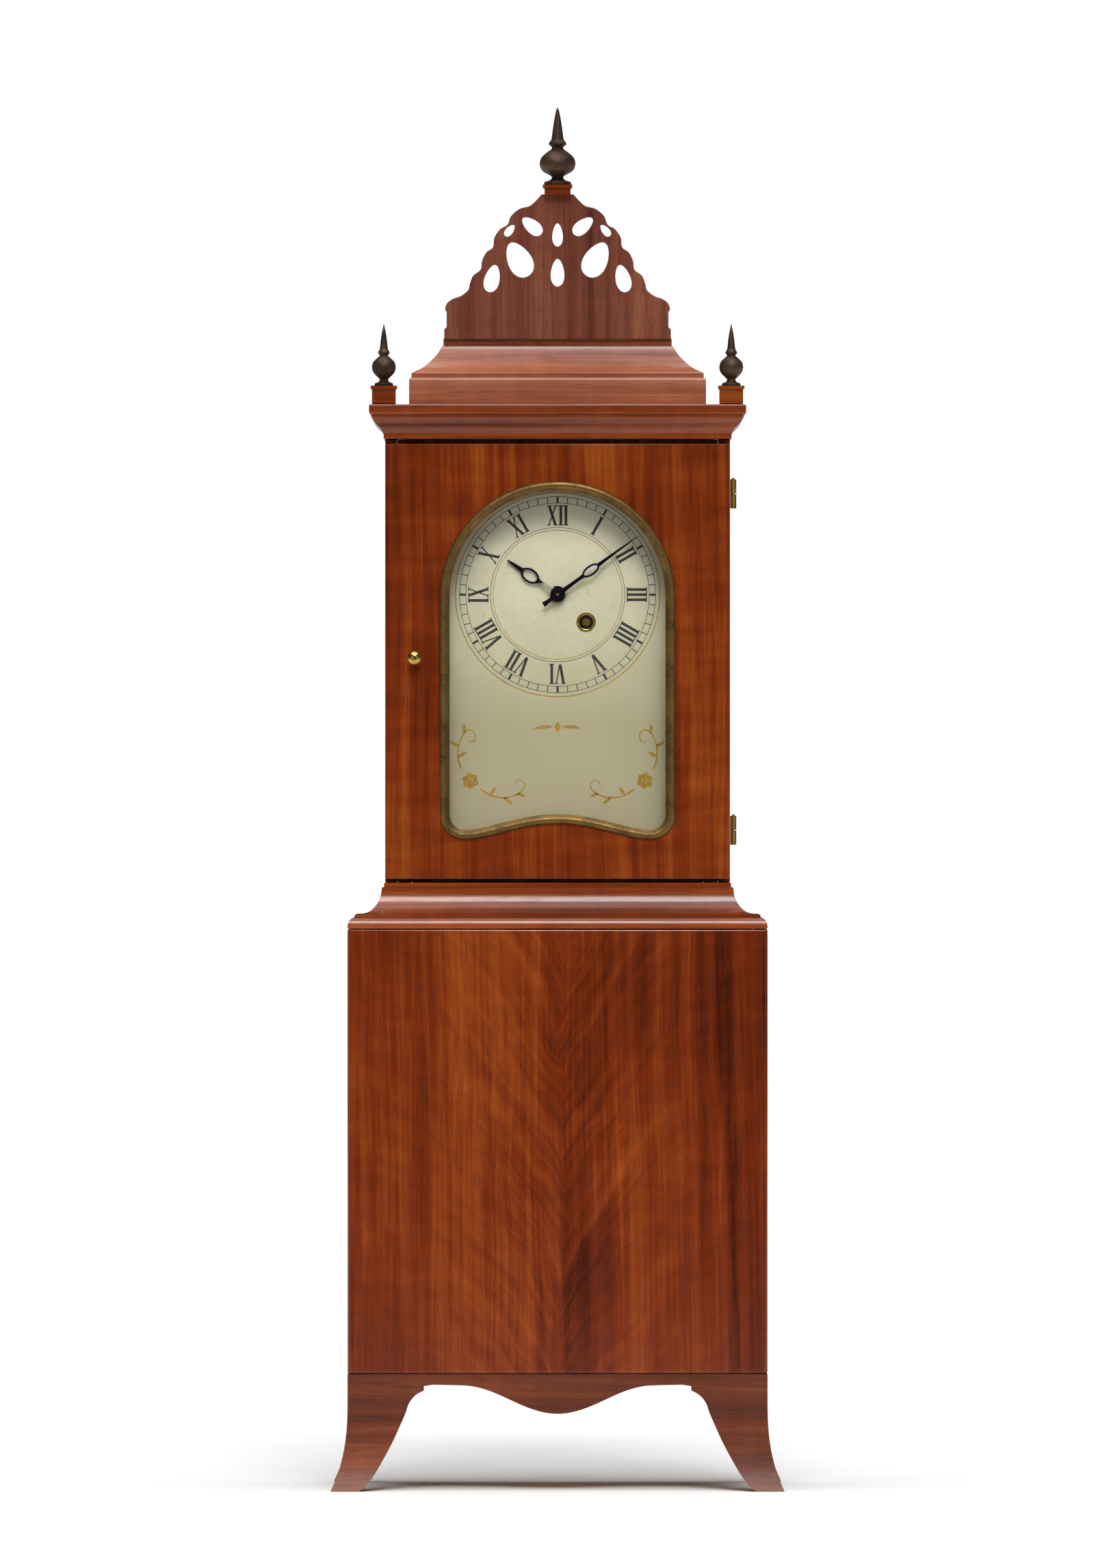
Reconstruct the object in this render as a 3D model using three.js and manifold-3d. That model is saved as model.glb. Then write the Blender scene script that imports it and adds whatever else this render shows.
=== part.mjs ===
// Two-part wooden shelf clock. Millimetres, +Z up, front faces -Y, origin at the middle of the footprint.
import * as THREE from "three";
import { mergeVertices } from "three/addons/utils/BufferGeometryUtils.js";
import Module from "manifold-3d";

const wasm = await Module();
wasm.setup();

// Driving dimensions
const GAP = 0.3; // between pieces that meet
const TOTAL_H = 950; // floor to the tip of the centre finial
const LOW_W = 143.7; // lower case, half width
const LOW_F = -80; // lower case, front face
const BACK = 75; // rear face
const LOW_Z0 = 80; // top of the skirt
const LOW_Z1 = 384.4; // top of the lower case
const WAIST_Z1 = 416; // top of the waist moulding
const HOOD_W = 118.4; // hood, half width
const HOOD_F = -56.3; // front of the door
const HOOD_Z0 = WAIST_Z1 + 0.4;
const HOOD_Z1 = 720.4; // top of the hood sides
const BOARD = 8; // case boards
const DOOR_T = 14;
const DOOR_B = HOOD_F + DOOR_T; // back of the door
const DOOR_Z0 = 418.6;
const DOOR_Z1 = 717.2;
const OPEN_W = 76.5; // dial opening, half width
const OPEN_TOP = 687;
const OPEN_BOT = 449.7;
const OPEN_RISE = 11; // the middle of the opening's lower edge is higher
const CORN_Z1 = 744;
const CORN_OUT = 10.8; // cornice projection
const ROOF_W = 102; // roof stage, half width
const ROOF_Z1 = 791;
const FRET_Y = -16; // middle of the fret
const FRET_T = 6;
const FRET_TOP = 889;
const CX = 0;
const CZ = 614; // dial centre
const DIAL_F = -31.6;
const DIAL_B = -30;
const PLATE_F0 = -12;
const PLATE_F1 = -9.5;
const PLATE_B0 = 26;
const PLATE_B1 = 28.5;
const PIVOT_Z = 668.1; // pallet arbor and pendulum pivot
const PEND_Y = 42;
const PEND_L = 400.7; // one beat of 0.635 s
const BARREL = { x: 19.6, z: 595.1, r: 12.3, line: 12.9 };
const LINE_R = 0.5;
const WEIGHT = { x: 17.7, y: 2, r: 22, z0: 98 }; // under the pulley, whose left side is under the barrel's left side
const PULLEY_R = 11;
const PULLEY_Z = 268;

const WOOD = 0x6e2f19,
  VENEER = 0x6a2814,
  DARK = 0x3a2c24,
  BRASS = 0xb08d4a,
  SILVER = 0xa9a892,
  STEEL = 0x8a8a8e,
  BLUE = 0x20222c,
  IRON = 0x3c3d40,
  GUT = 0xb79a5e,
  GLASS = 0xdfe6e4,
  PINE = 0x8a6a42;

const group = new THREE.Group();

// --- geometry helpers ---
function solid(geo) {
  const g = geo.index ? geo.toNonIndexed() : geo;
  const b = new THREE.BufferGeometry().setAttribute(
    "position",
    g.getAttribute("position"),
  );
  const m = mergeVertices(b, 1e-4);
  const make = (tri) =>
    new wasm.Manifold(
      new wasm.Mesh({
        numProp: 3,
        vertProperties: m.attributes.position.array,
        triVerts: tri,
      }),
    );
  const tri = new Uint32Array(m.index.array);
  let s = make(tri);
  if (s.volume() < 0) {
    for (let i = 0; i < tri.length; i += 3)
      [tri[i + 1], tri[i + 2]] = [tri[i + 2], tri[i + 1]];
    s = make(tri);
  }
  return s;
}
function put(name, s, color, rough = 0.5, metal = 0) {
  const m = s.getMesh(),
    n = m.numProp,
    v = new Float32Array(m.numVert * 3);
  for (let i = 0; i < m.numVert; i++)
    v.set(m.vertProperties.subarray(i * n, i * n + 3), i * 3);
  const g = new THREE.BufferGeometry()
    .setAttribute("position", new THREE.BufferAttribute(v, 3))
    .setIndex(new THREE.BufferAttribute(new Uint32Array(m.triVerts), 1));
  const mesh = new THREE.Mesh(
    g,
    new THREE.MeshStandardMaterial({
      color,
      roughness: rough,
      metalness: metal,
      flatShading: true,
    }),
  );
  mesh.name = name;
  group.add(mesh);
  return s;
}
const join = (...a) => a.reduce((p, q) => p.add(q));
const cut = (s, ...a) => a.reduce((p, q) => p.subtract(q), s);
function box(x0, x1, y0, y1, z0, z1) {
  const g = new THREE.BoxGeometry(x1 - x0, y1 - y0, z1 - z0);
  g.translate((x0 + x1) / 2, (y0 + y1) / 2, (z0 + z1) / 2);
  return solid(g);
}
function shapeOf(pts, holes = []) {
  const s = new THREE.Shape(pts.map(([a, b]) => new THREE.Vector2(a, b)));
  for (const h of holes)
    s.holes.push(new THREE.Path(h.map(([a, b]) => new THREE.Vector2(a, b))));
  return s;
}
function extruded(pts, holes, depth) {
  return new THREE.ExtrudeGeometry(shapeOf(pts, holes), {
    depth,
    bevelEnabled: false,
    steps: 1,
    curveSegments: 1,
  });
}
// outline in (x, z), from y0 to y1
function prismXZ(pts, y0, y1, holes = []) {
  const g = extruded(pts, holes, y1 - y0);
  g.rotateX(Math.PI / 2);
  g.translate(0, y1, 0);
  return solid(g);
}
// outline in (y, z), from x0 to x1
function prismYZ(pts, x0, x1, holes = []) {
  const g = extruded(pts, holes, x1 - x0);
  g.applyMatrix4(
    new THREE.Matrix4().makeBasis(
      new THREE.Vector3(0, 1, 0),
      new THREE.Vector3(0, 0, 1),
      new THREE.Vector3(1, 0, 0),
    ),
  );
  g.translate(x0, 0, 0);
  return solid(g);
}
// outline in (x, y), from z0 to z1
function prismXY(pts, z0, z1, holes = []) {
  const g = extruded(pts, holes, z1 - z0);
  g.translate(0, 0, z0);
  return solid(g);
}
function ring(a, b, r, n = 20, turn = 0) {
  const out = [];
  for (let i = 0; i < n; i++) {
    const t = turn + (2 * Math.PI * i) / n;
    out.push([a + r * Math.cos(t), b + r * Math.sin(t)]);
  }
  return out;
}
const rodY = (x, z, r, y0, y1, n = 14) => prismXZ(ring(x, z, r, n), y0, y1);
const rodZ = (x, y, r, z0, z1, n = 14) => prismXY(ring(x, y, r, n), z0, z1);
// turned about a vertical axis; profile of [radius, height], from axis to axis
function turnZ(profile, x, y, n = 20) {
  const g = new THREE.LatheGeometry(
    profile.map(([r, h]) => new THREE.Vector2(r, h)),
    n,
  );
  g.rotateX(Math.PI / 2);
  g.translate(x, y, 0);
  return solid(g);
}
// turned about an axis along Y; profile of [radius, y]
function turnY(profile, x, z, n = 24) {
  const g = new THREE.LatheGeometry(
    profile.map(([r, h]) => new THREE.Vector2(r, h)),
    n,
  );
  g.translate(x, 0, z);
  return solid(g);
}
// closed skin over rings of equal point counts; ends are flat faces
function skin(rings, caps) {
  const pos = [];
  const tri = (a, b, c) => pos.push(...a, ...b, ...c);
  const n = rings[0].length;
  for (let k = 0; k + 1 < rings.length; k++)
    for (let i = 0; i < n; i++) {
      const j = (i + 1) % n;
      tri(rings[k][i], rings[k][j], rings[k + 1][j]);
      tri(rings[k][i], rings[k + 1][j], rings[k + 1][i]);
    }
  const flat = caps.map(([a, b]) => new THREE.Vector2(a, b));
  const faces = THREE.ShapeUtils.triangulateShape(flat, []);
  const last = rings[rings.length - 1];
  for (const f of faces) {
    // each cap triangle follows the order of the ring
    const [a, b, c] = f.slice().sort((p, q) => p - q);
    tri(rings[0][c], rings[0][b], rings[0][a]);
    tri(last[a], last[b], last[c]);
  }
  const g = new THREE.BufferGeometry();
  g.setAttribute(
    "position",
    new THREE.BufferAttribute(new Float32Array(pos), 3),
  );
  return solid(g);
}
// a moulding along left side, front and right side; section of [outward offset, z]
function moulding(section, halfW, front, back) {
  const at = (fx, fy) => section.map(([d, z]) => [fx(d), fy(d), z]);
  return skin(
    [
      at(
        (d) => -halfW - d,
        () => back,
      ),
      at(
        (d) => -halfW - d,
        (d) => front - d,
      ),
      at(
        (d) => halfW + d,
        (d) => front - d,
      ),
      at(
        (d) => halfW + d,
        () => back,
      ),
    ],
    section,
  );
}
// a flat ribbon along a centre line, with a half width at each point
function ribbon(line, w) {
  const l = [],
    r = [];
  line.forEach((p, i) => {
    const a = line[Math.max(0, i - 1)],
      b = line[Math.min(line.length - 1, i + 1)];
    const dx = b[0] - a[0],
      dz = b[1] - a[1],
      k = Math.hypot(dx, dz);
    l.push([p[0] - (dz / k) * w[i], p[1] + (dx / k) * w[i]]);
    r.push([p[0] + (dz / k) * w[i], p[1] - (dx / k) * w[i]]);
  });
  return [...r, ...l.reverse()];
}
const mirror = (pts) => pts.map(([x, z]) => [-x, z]);

// --- lower case ---
put(
  "lower_front_panel",
  prismXY(
    [
      [-LOW_W, LOW_F + 8],
      [-LOW_W, LOW_F + 2.2],
      [-LOW_W + 0.7, LOW_F + 0.7],
      [-LOW_W + 2.2, LOW_F],
      [LOW_W - 2.2, LOW_F],
      [LOW_W - 0.7, LOW_F + 0.7],
      [LOW_W, LOW_F + 2.2],
      [LOW_W, LOW_F + 8],
    ],
    LOW_Z0,
    LOW_Z1,
  ),
  VENEER,
  0.3,
);
for (const [side, s] of [
  ["left", -1],
  ["right", 1],
]) {
  const a = s * LOW_W,
    b = s * (LOW_W - BOARD);
  put(
    "lower_side_" + side,
    box(
      Math.min(a, b),
      Math.max(a, b),
      LOW_F + 8 + GAP,
      BACK,
      LOW_Z0 + GAP,
      LOW_Z1,
    ),
    VENEER,
    0.35,
  );
}
const inLow = LOW_W - BOARD - GAP;
put(
  "base_board",
  box(-inLow, inLow, LOW_F + 8 + GAP, BACK - 8 - GAP, LOW_Z0 + GAP, 90),
  PINE,
  0.8,
);
const inHood = HOOD_W - BOARD - 0.6;
put(
  "backboard",
  prismXZ(
    [
      [-inLow, LOW_Z0 + GAP],
      [inLow, LOW_Z0 + GAP],
      [inLow, LOW_Z1],
      [HOOD_W - 17.3, LOW_Z1],
      [HOOD_W - 17.3, HOOD_Z0],
      [inHood - 0.2, HOOD_Z0],
      [inHood - 0.2, 716],
      [-inHood + 0.2, 716],
      [-inHood + 0.2, HOOD_Z0],
      [-HOOD_W + 17.3, HOOD_Z0],
      [-HOOD_W + 17.3, LOW_Z1],
      [-inLow, LOW_Z1],
    ],
    BACK - 8,
    BACK,
  ),
  PINE,
  0.8,
);

// --- skirt: apron with splayed bracket feet ---
const flare = (z) => {
  const t = Math.max(0, (62 - z) / 62);
  return 11.4 * Math.pow(t, 2.6);
};
const zs = [0, 4, 9, 15, 22, 31, 42, 52, 62, LOW_Z0 - GAP];
const footIn = [
  [136, 0],
  [131.5, 3],
  [126, 10],
  [120, 20],
  [113, 33],
  [107.5, 45],
  [104, 53],
  [101.5, 60],
  [97, 65.5],
  [91.5, 68.5],
  [91.5, 71.5],
  [85.5, 72.5],
];
const apron = [];
for (let i = 0; i <= 16; i++) {
  const x = 65.5 * (1 - i / 8);
  apron.push([x, 52.6 + 19.4 * (0.5 - 0.5 * Math.cos((Math.PI * x) / 65.5))]);
}
const frontOutline = [
  ...zs.map((z) => [LOW_W + flare(z), z]),
  ...zs.map((z) => [-LOW_W - flare(z), z]).reverse(),
  ...mirror(footIn),
  [-70, 72.4],
  ...apron.slice().reverse(),
  [70, 72.4],
  ...footIn.slice().reverse(),
];
const outer = zs.map((z) => [LOW_F - flare(z), z]);
const inner = zs.map((z) => [LOW_F + 10 - flare(z), z]).reverse();
put(
  "skirt_front",
  prismXZ(frontOutline, LOW_F - 20, LOW_F + 30).intersect(
    prismYZ([...outer, ...inner], -200, 200),
  ),
  WOOD,
  0.35,
);
// side skirts butt against the back of the front skirt
const sideFront = zs.map((z) => [LOW_F + 10 - flare(z) + GAP, z]);
const sideIn = footIn.map(([x, z]) => [-(x - LOW_W + 80), z]); // [y, z]
const sideOutline = [
  ...sideFront,
  [BACK, LOW_Z0 - GAP],
  [BACK, 0],
  [BACK - 11, 0],
  [BACK - 14, 10],
  [BACK - 21, 22],
  [BACK - 29, 36],
  [BACK - 35, 52],
  [BACK - 38, 60],
  [BACK - 43, 65.5],
  [BACK - 49, 68.5],
  [BACK - 49, 71.5],
  [-27, 71.5],
  ...sideIn.slice(0, -2).reverse(),
];
for (const [side, s] of [
  ["left", -1],
  ["right", 1],
]) {
  const o = zs.map((z) => [s * (LOW_W + flare(z)), z]);
  const i = zs.map((z) => [s * (LOW_W + flare(z) - 10), z]).reverse();
  put(
    "skirt_" + side,
    prismYZ(sideOutline, -220, 220).intersect(prismXZ([...o, ...i], -120, 120)),
    WOOD,
    0.35,
  );
}

// --- waist moulding ---
const cove = [];
for (let i = 0; i <= 8; i++) {
  const t = (Math.PI / 2) * (i / 8);
  cove.push([18.6 - 16.4 * Math.cos(t), 394 + 18.6 * (1 - Math.sin(t))]);
}
put(
  "waist_moulding",
  moulding(
    [
      [-17, LOW_Z1 + GAP],
      [-17, WAIST_Z1],
      [0.6, WAIST_Z1],
      [0.6, 413.4],
      ...cove,
      [20.6, 394],
      [20.6, 392.2],
      [23.2, 391.4],
      [24.8, 389.6],
      [25.3, 387.2],
      [25.3, LOW_Z1 + GAP],
    ],
    HOOD_W,
    HOOD_F + 1.6,
    BACK,
  ),
  WOOD,
  0.35,
);

// --- hood ---
const mortise = box(-112.9, -109, -39.3, -35.4, 563.5, 580.5);
put(
  "hood_side_left",
  cut(
    box(
      -HOOD_W,
      -HOOD_W + BOARD,
      DOOR_B + GAP,
      BACK,
      HOOD_Z0,
      HOOD_Z1,
    ),
    mortise,
  ),
  WOOD,
  0.35,
);
put(
  "hood_side_right",
  box(HOOD_W - BOARD, HOOD_W, DOOR_B + GAP, BACK, HOOD_Z0, HOOD_Z1),
  WOOD,
  0.35,
);
put(
  "hood_top_board",
  box(-HOOD_W, HOOD_W, HOOD_F, BACK, HOOD_Z1 + GAP, 728.6),
  WOOD,
  0.5,
);

// outline of the dial opening, grown by `off`
function opening(off, n = 14) {
  const a = OPEN_W + off,
    top = OPEN_TOP + off,
    spring = top - a * 0.98,
    out = [];
  for (let i = 0; i <= 2 * n; i++) {
    const t = (Math.PI * i) / (2 * n);
    out.push([a * Math.cos(t), spring + a * 0.98 * Math.sin(t)]);
  }
  const bot = OPEN_BOT - off,
    rc = 13 + off * 0.6;
  const left = [];
  for (let i = 0; i <= 5; i++) {
    const t = (Math.PI / 2) * (i / 5);
    left.push([-a + rc * (1 - Math.cos(t)), bot + rc * (1 - Math.sin(t))]);
  }
  const mid = [];
  for (let i = 1; i < 9; i++) {
    const x = -(a - rc) + (2 * (a - rc) * i) / 9;
    const u = x / (a - rc);
    mid.push([x, bot + OPEN_RISE * Math.pow(Math.cos((Math.PI / 2) * u), 1.5)]);
  }
  return [...out, ...left, ...mid, ...mirror(left).reverse()];
}
// mask behind the door, with a notch for the catch
const maskB = -38.9;
put(
  "dial_mask",
  cut(
    prismXZ(
      [
        [-inHood, HOOD_Z0],
        [inHood, HOOD_Z0],
        [inHood, HOOD_Z1],
        [-inHood, HOOD_Z1],
      ],
      DOOR_B + GAP,
      maskB,
      [opening(6.5, 8)],
    ),
    box(-101.5, -94.5, -45, -30, 566, 588),
  ),
  WOOD,
  0.6,
);

// --- door ---
const hinge = { x: HOOD_W + 2.3, y: DOOR_B + 0.15 };
const doorW = HOOD_W - 0.2;
const rebate = prismXZ(opening(4.2), -49, -40);
put(
  "hood_door_frame",
  cut(
    prismXZ(
      [
        [-doorW, DOOR_Z0],
        [doorW, DOOR_Z0],
        [doorW, DOOR_Z1],
        [-doorW, DOOR_Z1],
      ],
      HOOD_F,
      DOOR_B,
      [opening(0)],
    ),
    rebate,
    rodY(-98, 570, 2.1, -60, -40),
    rodY(-98, 570, 4.6, HOOD_F - 1, HOOD_F + 0.8),
  ),
  VENEER,
  0.3,
);
put("hood_door_glass", prismXZ(opening(3.8, 10), -48.7, -46.9), GLASS, 0.05);
put(
  "hood_door_bead",
  join(
    prismXZ(opening(5, 10), HOOD_F - 1.5, HOOD_F - 0.3, [opening(-0.4, 10)]),
    prismXZ(opening(4, 10), HOOD_F - 2.4, HOOD_F - 1.4, [opening(0.6, 10)]),
    prismXZ(opening(-0.4, 10), HOOD_F - 1.5, -49.2, [opening(-2.6, 10)]),
  ),
  BRASS,
  0.4,
  0.7,
);
put(
  "hood_door_catch",
  join(
    turnY(
      [
        [0, -68.5],
        [2.6, -68.2],
        [4.4, -66.6],
        [4.9, -64.4],
        [4.1, -62.2],
        [2.3, -60.6],
        [1.9, -59],
        [2.6, -57.6],
        [4.2, -56.9],
        [4.2, -55.8],
        [1.7, -55.8],
        [1.7, -36.6],
        [0, -36.6],
      ],
      -98,
      570,
      16,
    ),
    prismXZ(
      [
        [-100.4, 567.8],
        [-95.6, 567.8],
        [-95.4, 578],
        [-96.6, 583.9],
        [-99.4, 583.9],
        [-100.6, 578],
      ],
      -38.2,
      -36.6,
    ),
  ),
  BRASS,
  0.35,
  0.9,
);
for (const [where, zc] of [
  ["lower", 452],
  ["upper", 683],
]) {
  const x = hinge.x,
    y = hinge.y;
  put(
    "hood_hinge_" + where,
    join(
      cut(rodZ(x, y, 2.1, zc - 10, zc - 0.2, 16)),
      rodZ(x, y, 0.9, zc - 5, zc + 11, 12),
      box(HOOD_W + GAP, HOOD_W + 1.4, y, y + 13, zc - 10, zc + 10),
      box(HOOD_W + GAP, x, y - 0.4, y + 1.4, zc - 10, zc - 0.2),
    ).subtract(
      rodZ(x, y, 2.5, zc - 0.2, zc + 10.01, 16).subtract(
        rodZ(x, y, 0.9, zc - 1, zc + 11, 12),
      ),
    ),
    BRASS,
    0.35,
    0.9,
  );
  put(
    "door_leaf_" + where,
    join(
      rodZ(x, y, 2.1, zc + 0.2, zc + 10, 16),
      box(HOOD_W + GAP - 0.2, HOOD_W + 1.3, y - 12, y - 0.6, zc - 10, zc + 10),
      box(HOOD_W + GAP - 0.2, x, y - 1.9, y - 0.3, zc + 0.2, zc + 10),
    )
      .subtract(rodZ(x, y, 1.25, zc - 12, zc + 12, 12))
      .subtract(rodZ(x, y, 2.5, zc - 12, zc + 0.2, 16)),
    BRASS,
    0.35,
    0.9,
  );
}

// --- cornice, roof, crest ---
const corn = [];
for (let i = 0; i <= 8; i++) {
  const t = i / 8; // cyma: hollow below, round above
  corn.push([
    0.9 + (CORN_OUT - 2.6) * (t - 0.13 * Math.sin(2 * Math.PI * t)),
    722.6 + 14.4 * t,
  ]);
}
put(
  "cornice_moulding",
  moulding(
    [
      [-16.1, 728.9],
      [0.3, 728.9],
      [0.3, HOOD_Z1 + GAP],
      [0.9, HOOD_Z1 + GAP],
      ...corn,
      [CORN_OUT - 0.6, 737.6],
      [CORN_OUT, 738.4],
      [CORN_OUT, 743],
      [CORN_OUT - 1, CORN_Z1],
      [-16.1, CORN_Z1],
    ],
    HOOD_W,
    HOOD_F,
    BACK,
  ),
  WOOD,
  0.35,
);
const roof = [];
const roofRings = [
  [0, 728.9],
  [0, 762],
  [1.6, 763.2],
  [1.6, 766.4],
  [4.2, 767.6],
  [12.8, 773],
  [18.6, 779],
  [22.2, 785],
  [23.4, 787.4],
  [23.4, ROOF_Z1],
];
for (const [d, z] of roofRings) {
  const w = ROOF_W - d,
    f = HOOD_F + 16.4 + d;
  roof.push([
    [-w, f, z],
    [w, f, z],
    [w, BACK, z],
    [-w, BACK, z],
  ]);
}
put(
  "roof_moulding",
  skin(roof, [
    [-1, -1],
    [1, -1],
    [1, 1],
    [-1, 1],
  ]),
  WOOD,
  0.35,
);
// pierced fret
const half = [
  [78, ROOF_Z1 + GAP],
  [78, 797],
  [76.4, 798.4],
  [76.4, 809],
  [77.4, 811],
  [76, 815],
  [72, 818],
  [66.5, 820],
  [61.5, 824],
  [60.5, 828],
  [58, 834],
  [53, 838],
  [52, 844],
  [49, 850],
  [44.5, 853.5],
  [43.5, 860],
  [39.5, 866],
  [34.5, 869],
  [32, 875],
  [26, 880],
  [19, 882],
  [14.5, 886],
  [11, FRET_TOP],
];
const fretOutline = [...half, ...mirror(half).reverse()];
const comma = (cx, cz, r, a0, a1, w0, n = 8) => {
  const line = [],
    w = [];
  for (let i = 0; i <= n; i++) {
    const t = i / n,
      a = ((a0 + (a1 - a0) * t) * Math.PI) / 180,
      q = r * (1 - 0.18 * t);
    line.push([cx + q * Math.cos(a), cz + q * Math.sin(a)]);
    w.push(w0 * Math.pow(Math.sin(Math.PI * (0.12 + 0.88 * (1 - t * 0.96))), 0.7) + 0.35);
  }
  return ribbon(line, w);
};
const petal = (cx, cz, a, b, deg, n = 12) => {
  const t = (deg * Math.PI) / 180,
    out = [];
  for (let i = 0; i < n; i++) {
    const u = (2 * Math.PI * i) / n,
      k = 1 - 0.22 * Math.cos(u),
      x = a * Math.cos(u),
      z = b * k * Math.sin(u);
    out.push([
      cx + x * Math.cos(t) - z * Math.sin(t),
      cz + x * Math.sin(t) + z * Math.cos(t),
    ]);
  }
  return out;
};
const pierced = [
  petal(26.5, 845, 13, 8.2, 62),
  petal(45, 832, 9.6, 5.2, 104),
  petal(17.5, 868, 8.4, 4.6, 40),
  petal(33, 865, 4.8, 2.6, 130),
];
const fretHoles = [
  ...pierced,
  ...pierced.map((p) => mirror(p).reverse()),
  petal(0, 836, 9.5, 4.6, 90),
  petal(0, 862, 8, 3.6, 90),
];
put(
  "crest_fret",
  prismXZ(fretOutline, FRET_Y - FRET_T / 2, FRET_Y + FRET_T / 2, fretHoles),
  WOOD,
  0.4,
);
put(
  "crest_plinth",
  join(
    box(-9, 9, FRET_Y - 8, FRET_Y + 8, FRET_TOP + GAP, 894),
    box(-10.2, 10.2, FRET_Y - 9.2, FRET_Y + 9.2, 894, 896.4),
  ),
  WOOD,
  0.4,
);
put(
  "finial_center",
  turnZ(
    [
      [0, 896.7],
      [9.2, 896.7],
      [9.2, 898.6],
      [5.4, 899.8],
      [4, 901.6],
      [5.8, 903.2],
      [10.6, 906],
      [12.4, 910.4],
      [11.4, 915],
      [7.6, 918.8],
      [4.6, 920.8],
      [4, 922.4],
      [6, 924],
      [6, 925.6],
      [4.4, 927.6],
      [3.8, 931],
      [3, 937],
      [2, 943],
      [0.9, 948.4],
      [0, TOTAL_H],
    ],
    0,
    FRET_Y,
    20,
  ),
  DARK,
  0.45,
  0.6,
);
for (const [side, s] of [
  ["left", -1],
  ["right", 1],
]) {
  const x = s * 119.1,
    y = HOOD_F - CORN_OUT + 10;
  put(
    "corner_plinth_" + side,
    join(
      box(x - 8.1, x + 8.1, y - 8.1, y + 8.1, CORN_Z1 + GAP, 754.6),
      box(x - 9, x + 9, y - 9, y + 9, 754.6, 756.8),
    ),
    WOOD,
    0.4,
  );
  put(
    "finial_" + side,
    turnZ(
      [
        [0, 757.1],
        [6.4, 757.1],
        [6.4, 758.6],
        [3.6, 759.8],
        [3, 761.4],
        [4.6, 763],
        [7.4, 766],
        [8.3, 769.6],
        [7.4, 773.2],
        [4.6, 776],
        [2.9, 777.6],
        [4, 779],
        [4, 780.2],
        [2.8, 782.4],
        [2.2, 788],
        [1.3, 794],
        [0, 800],
      ],
      x,
      y,
      16,
    ),
    DARK,
    0.45,
    0.6,
  );
}

// --- dial ---
const dialPts = (() => {
  const a = 95,
    out = [];
  for (let i = 0; i <= 20; i++) {
    const t = (Math.PI * i) / 20;
    out.push([a * Math.cos(t), 611 + (i === 10 ? 92 : 92 * Math.sin(t))]);
  }
  return [...out, [-a, 436], [a, 436]];
})();
const dialHoles = [ring(CX, CZ, 5.2, 16), ring(BARREL.x, BARREL.z, 5, 16)];
put(
  "dial_plate",
  join(
    prismXZ(dialPts, DIAL_F, DIAL_B, dialHoles),
    ...[
      [-42, 572],
      [42, 572],
      [-42, 676],
      [42, 676],
    ].map(([x, z]) => rodY(x, z, 2.6, DIAL_B - 0.4, PLATE_F0 - GAP, 10)),
  ),
  SILVER,
  0.35,
  0.6,
);

// --- movement ---
function gear(n, m, { add = 0.9, ded = 1.2, tip = 0.17, root = 0.58, turn = 0 } = {}) {
  const rp = (n * m) / 2,
    ra = rp + add * m,
    rr = rp - ded * m,
    p = (2 * Math.PI) / n,
    out = [];
  for (let i = 0; i < n; i++) {
    const c = turn + i * p;
    for (const [r, f] of [
      [rr, -root / 2],
      [ra, -tip / 2],
      [ra, tip / 2],
      [rr, root / 2],
    ])
      out.push([r * Math.cos(c + f * p), r * Math.sin(c + f * p)]);
  }
  return out;
}
const shift = (pts, x, z) => pts.map(([a, b]) => [a + x, b + z]);
// four windows between hub and rim
function windows(x, z, r0, r1, arm, turn = 0) {
  const out = [];
  for (let k = 0; k < 4; k++) {
    const c = turn + (Math.PI / 2) * (k + 0.5),
      pts = [];
    const h1 = Math.PI / 4 - arm / r1,
      h0 = Math.PI / 4 - arm / r0;
    for (let i = 0; i <= 4; i++) {
      const t = c - h1 + (2 * h1 * i) / 4;
      pts.push([x + r1 * Math.cos(t), z + r1 * Math.sin(t)]);
    }
    for (let i = 0; i <= 2; i++) {
      const t = c + h0 - (2 * h0 * i) / 2;
      pts.push([x + r0 * Math.cos(t), z + r0 * Math.sin(t)]);
    }
    out.push(pts);
  }
  return out;
}
const M1 = 0.68,
  M2 = 0.6,
  M3 = 0.55,
  M4 = 0.75;
const THIRD = { x: -16, z: CZ + 17.889 };
const ESC = { x: 0, z: THIRD.z + 11.19, r: 17 };
const MIN = { x: -12.728, z: CZ + 12.728 };
const pin = (n, m, turn) =>
  gear(n, m, { add: 0.75, ded: 1.45, tip: 0.14, root: 0.42, turn });
const PHASE = {
  great: 0,
  centrePinion: 0,
  centre: 0,
  thirdPinion: 0,
  third: 0,
  escPinion: 0,
  cannon: 0,
  minute: 0,
  minutePinion: 0,
  hour: 0,
};
// a wheel and its pinion in mesh: turn of the pinion that puts a gap on the line of centres where the wheel has a tooth
function mesh(wheelTurn, nw, np, ax, az, bx, bz) {
  const dir = Math.atan2(bz - az, bx - ax);
  const frac = (((dir - wheelTurn) / ((2 * Math.PI) / nw)) % 1) + 1;
  // wheel tooth phase on the line, in teeth; the pinion needs the opposite phase half a tooth away
  return dir + Math.PI + (frac + 0.5) * ((2 * Math.PI) / np);
}
PHASE.centrePinion = mesh(0, 72, 8, BARREL.x, BARREL.z, CX, CZ);
PHASE.thirdPinion = mesh(0, 72, 8, CX, CZ, THIRD.x, THIRD.z);
PHASE.escPinion = mesh(0, 63, 8, THIRD.x, THIRD.z, ESC.x, ESC.z);
PHASE.minute = mesh(0, 12, 36, CX, CZ, MIN.x, MIN.z);
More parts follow.
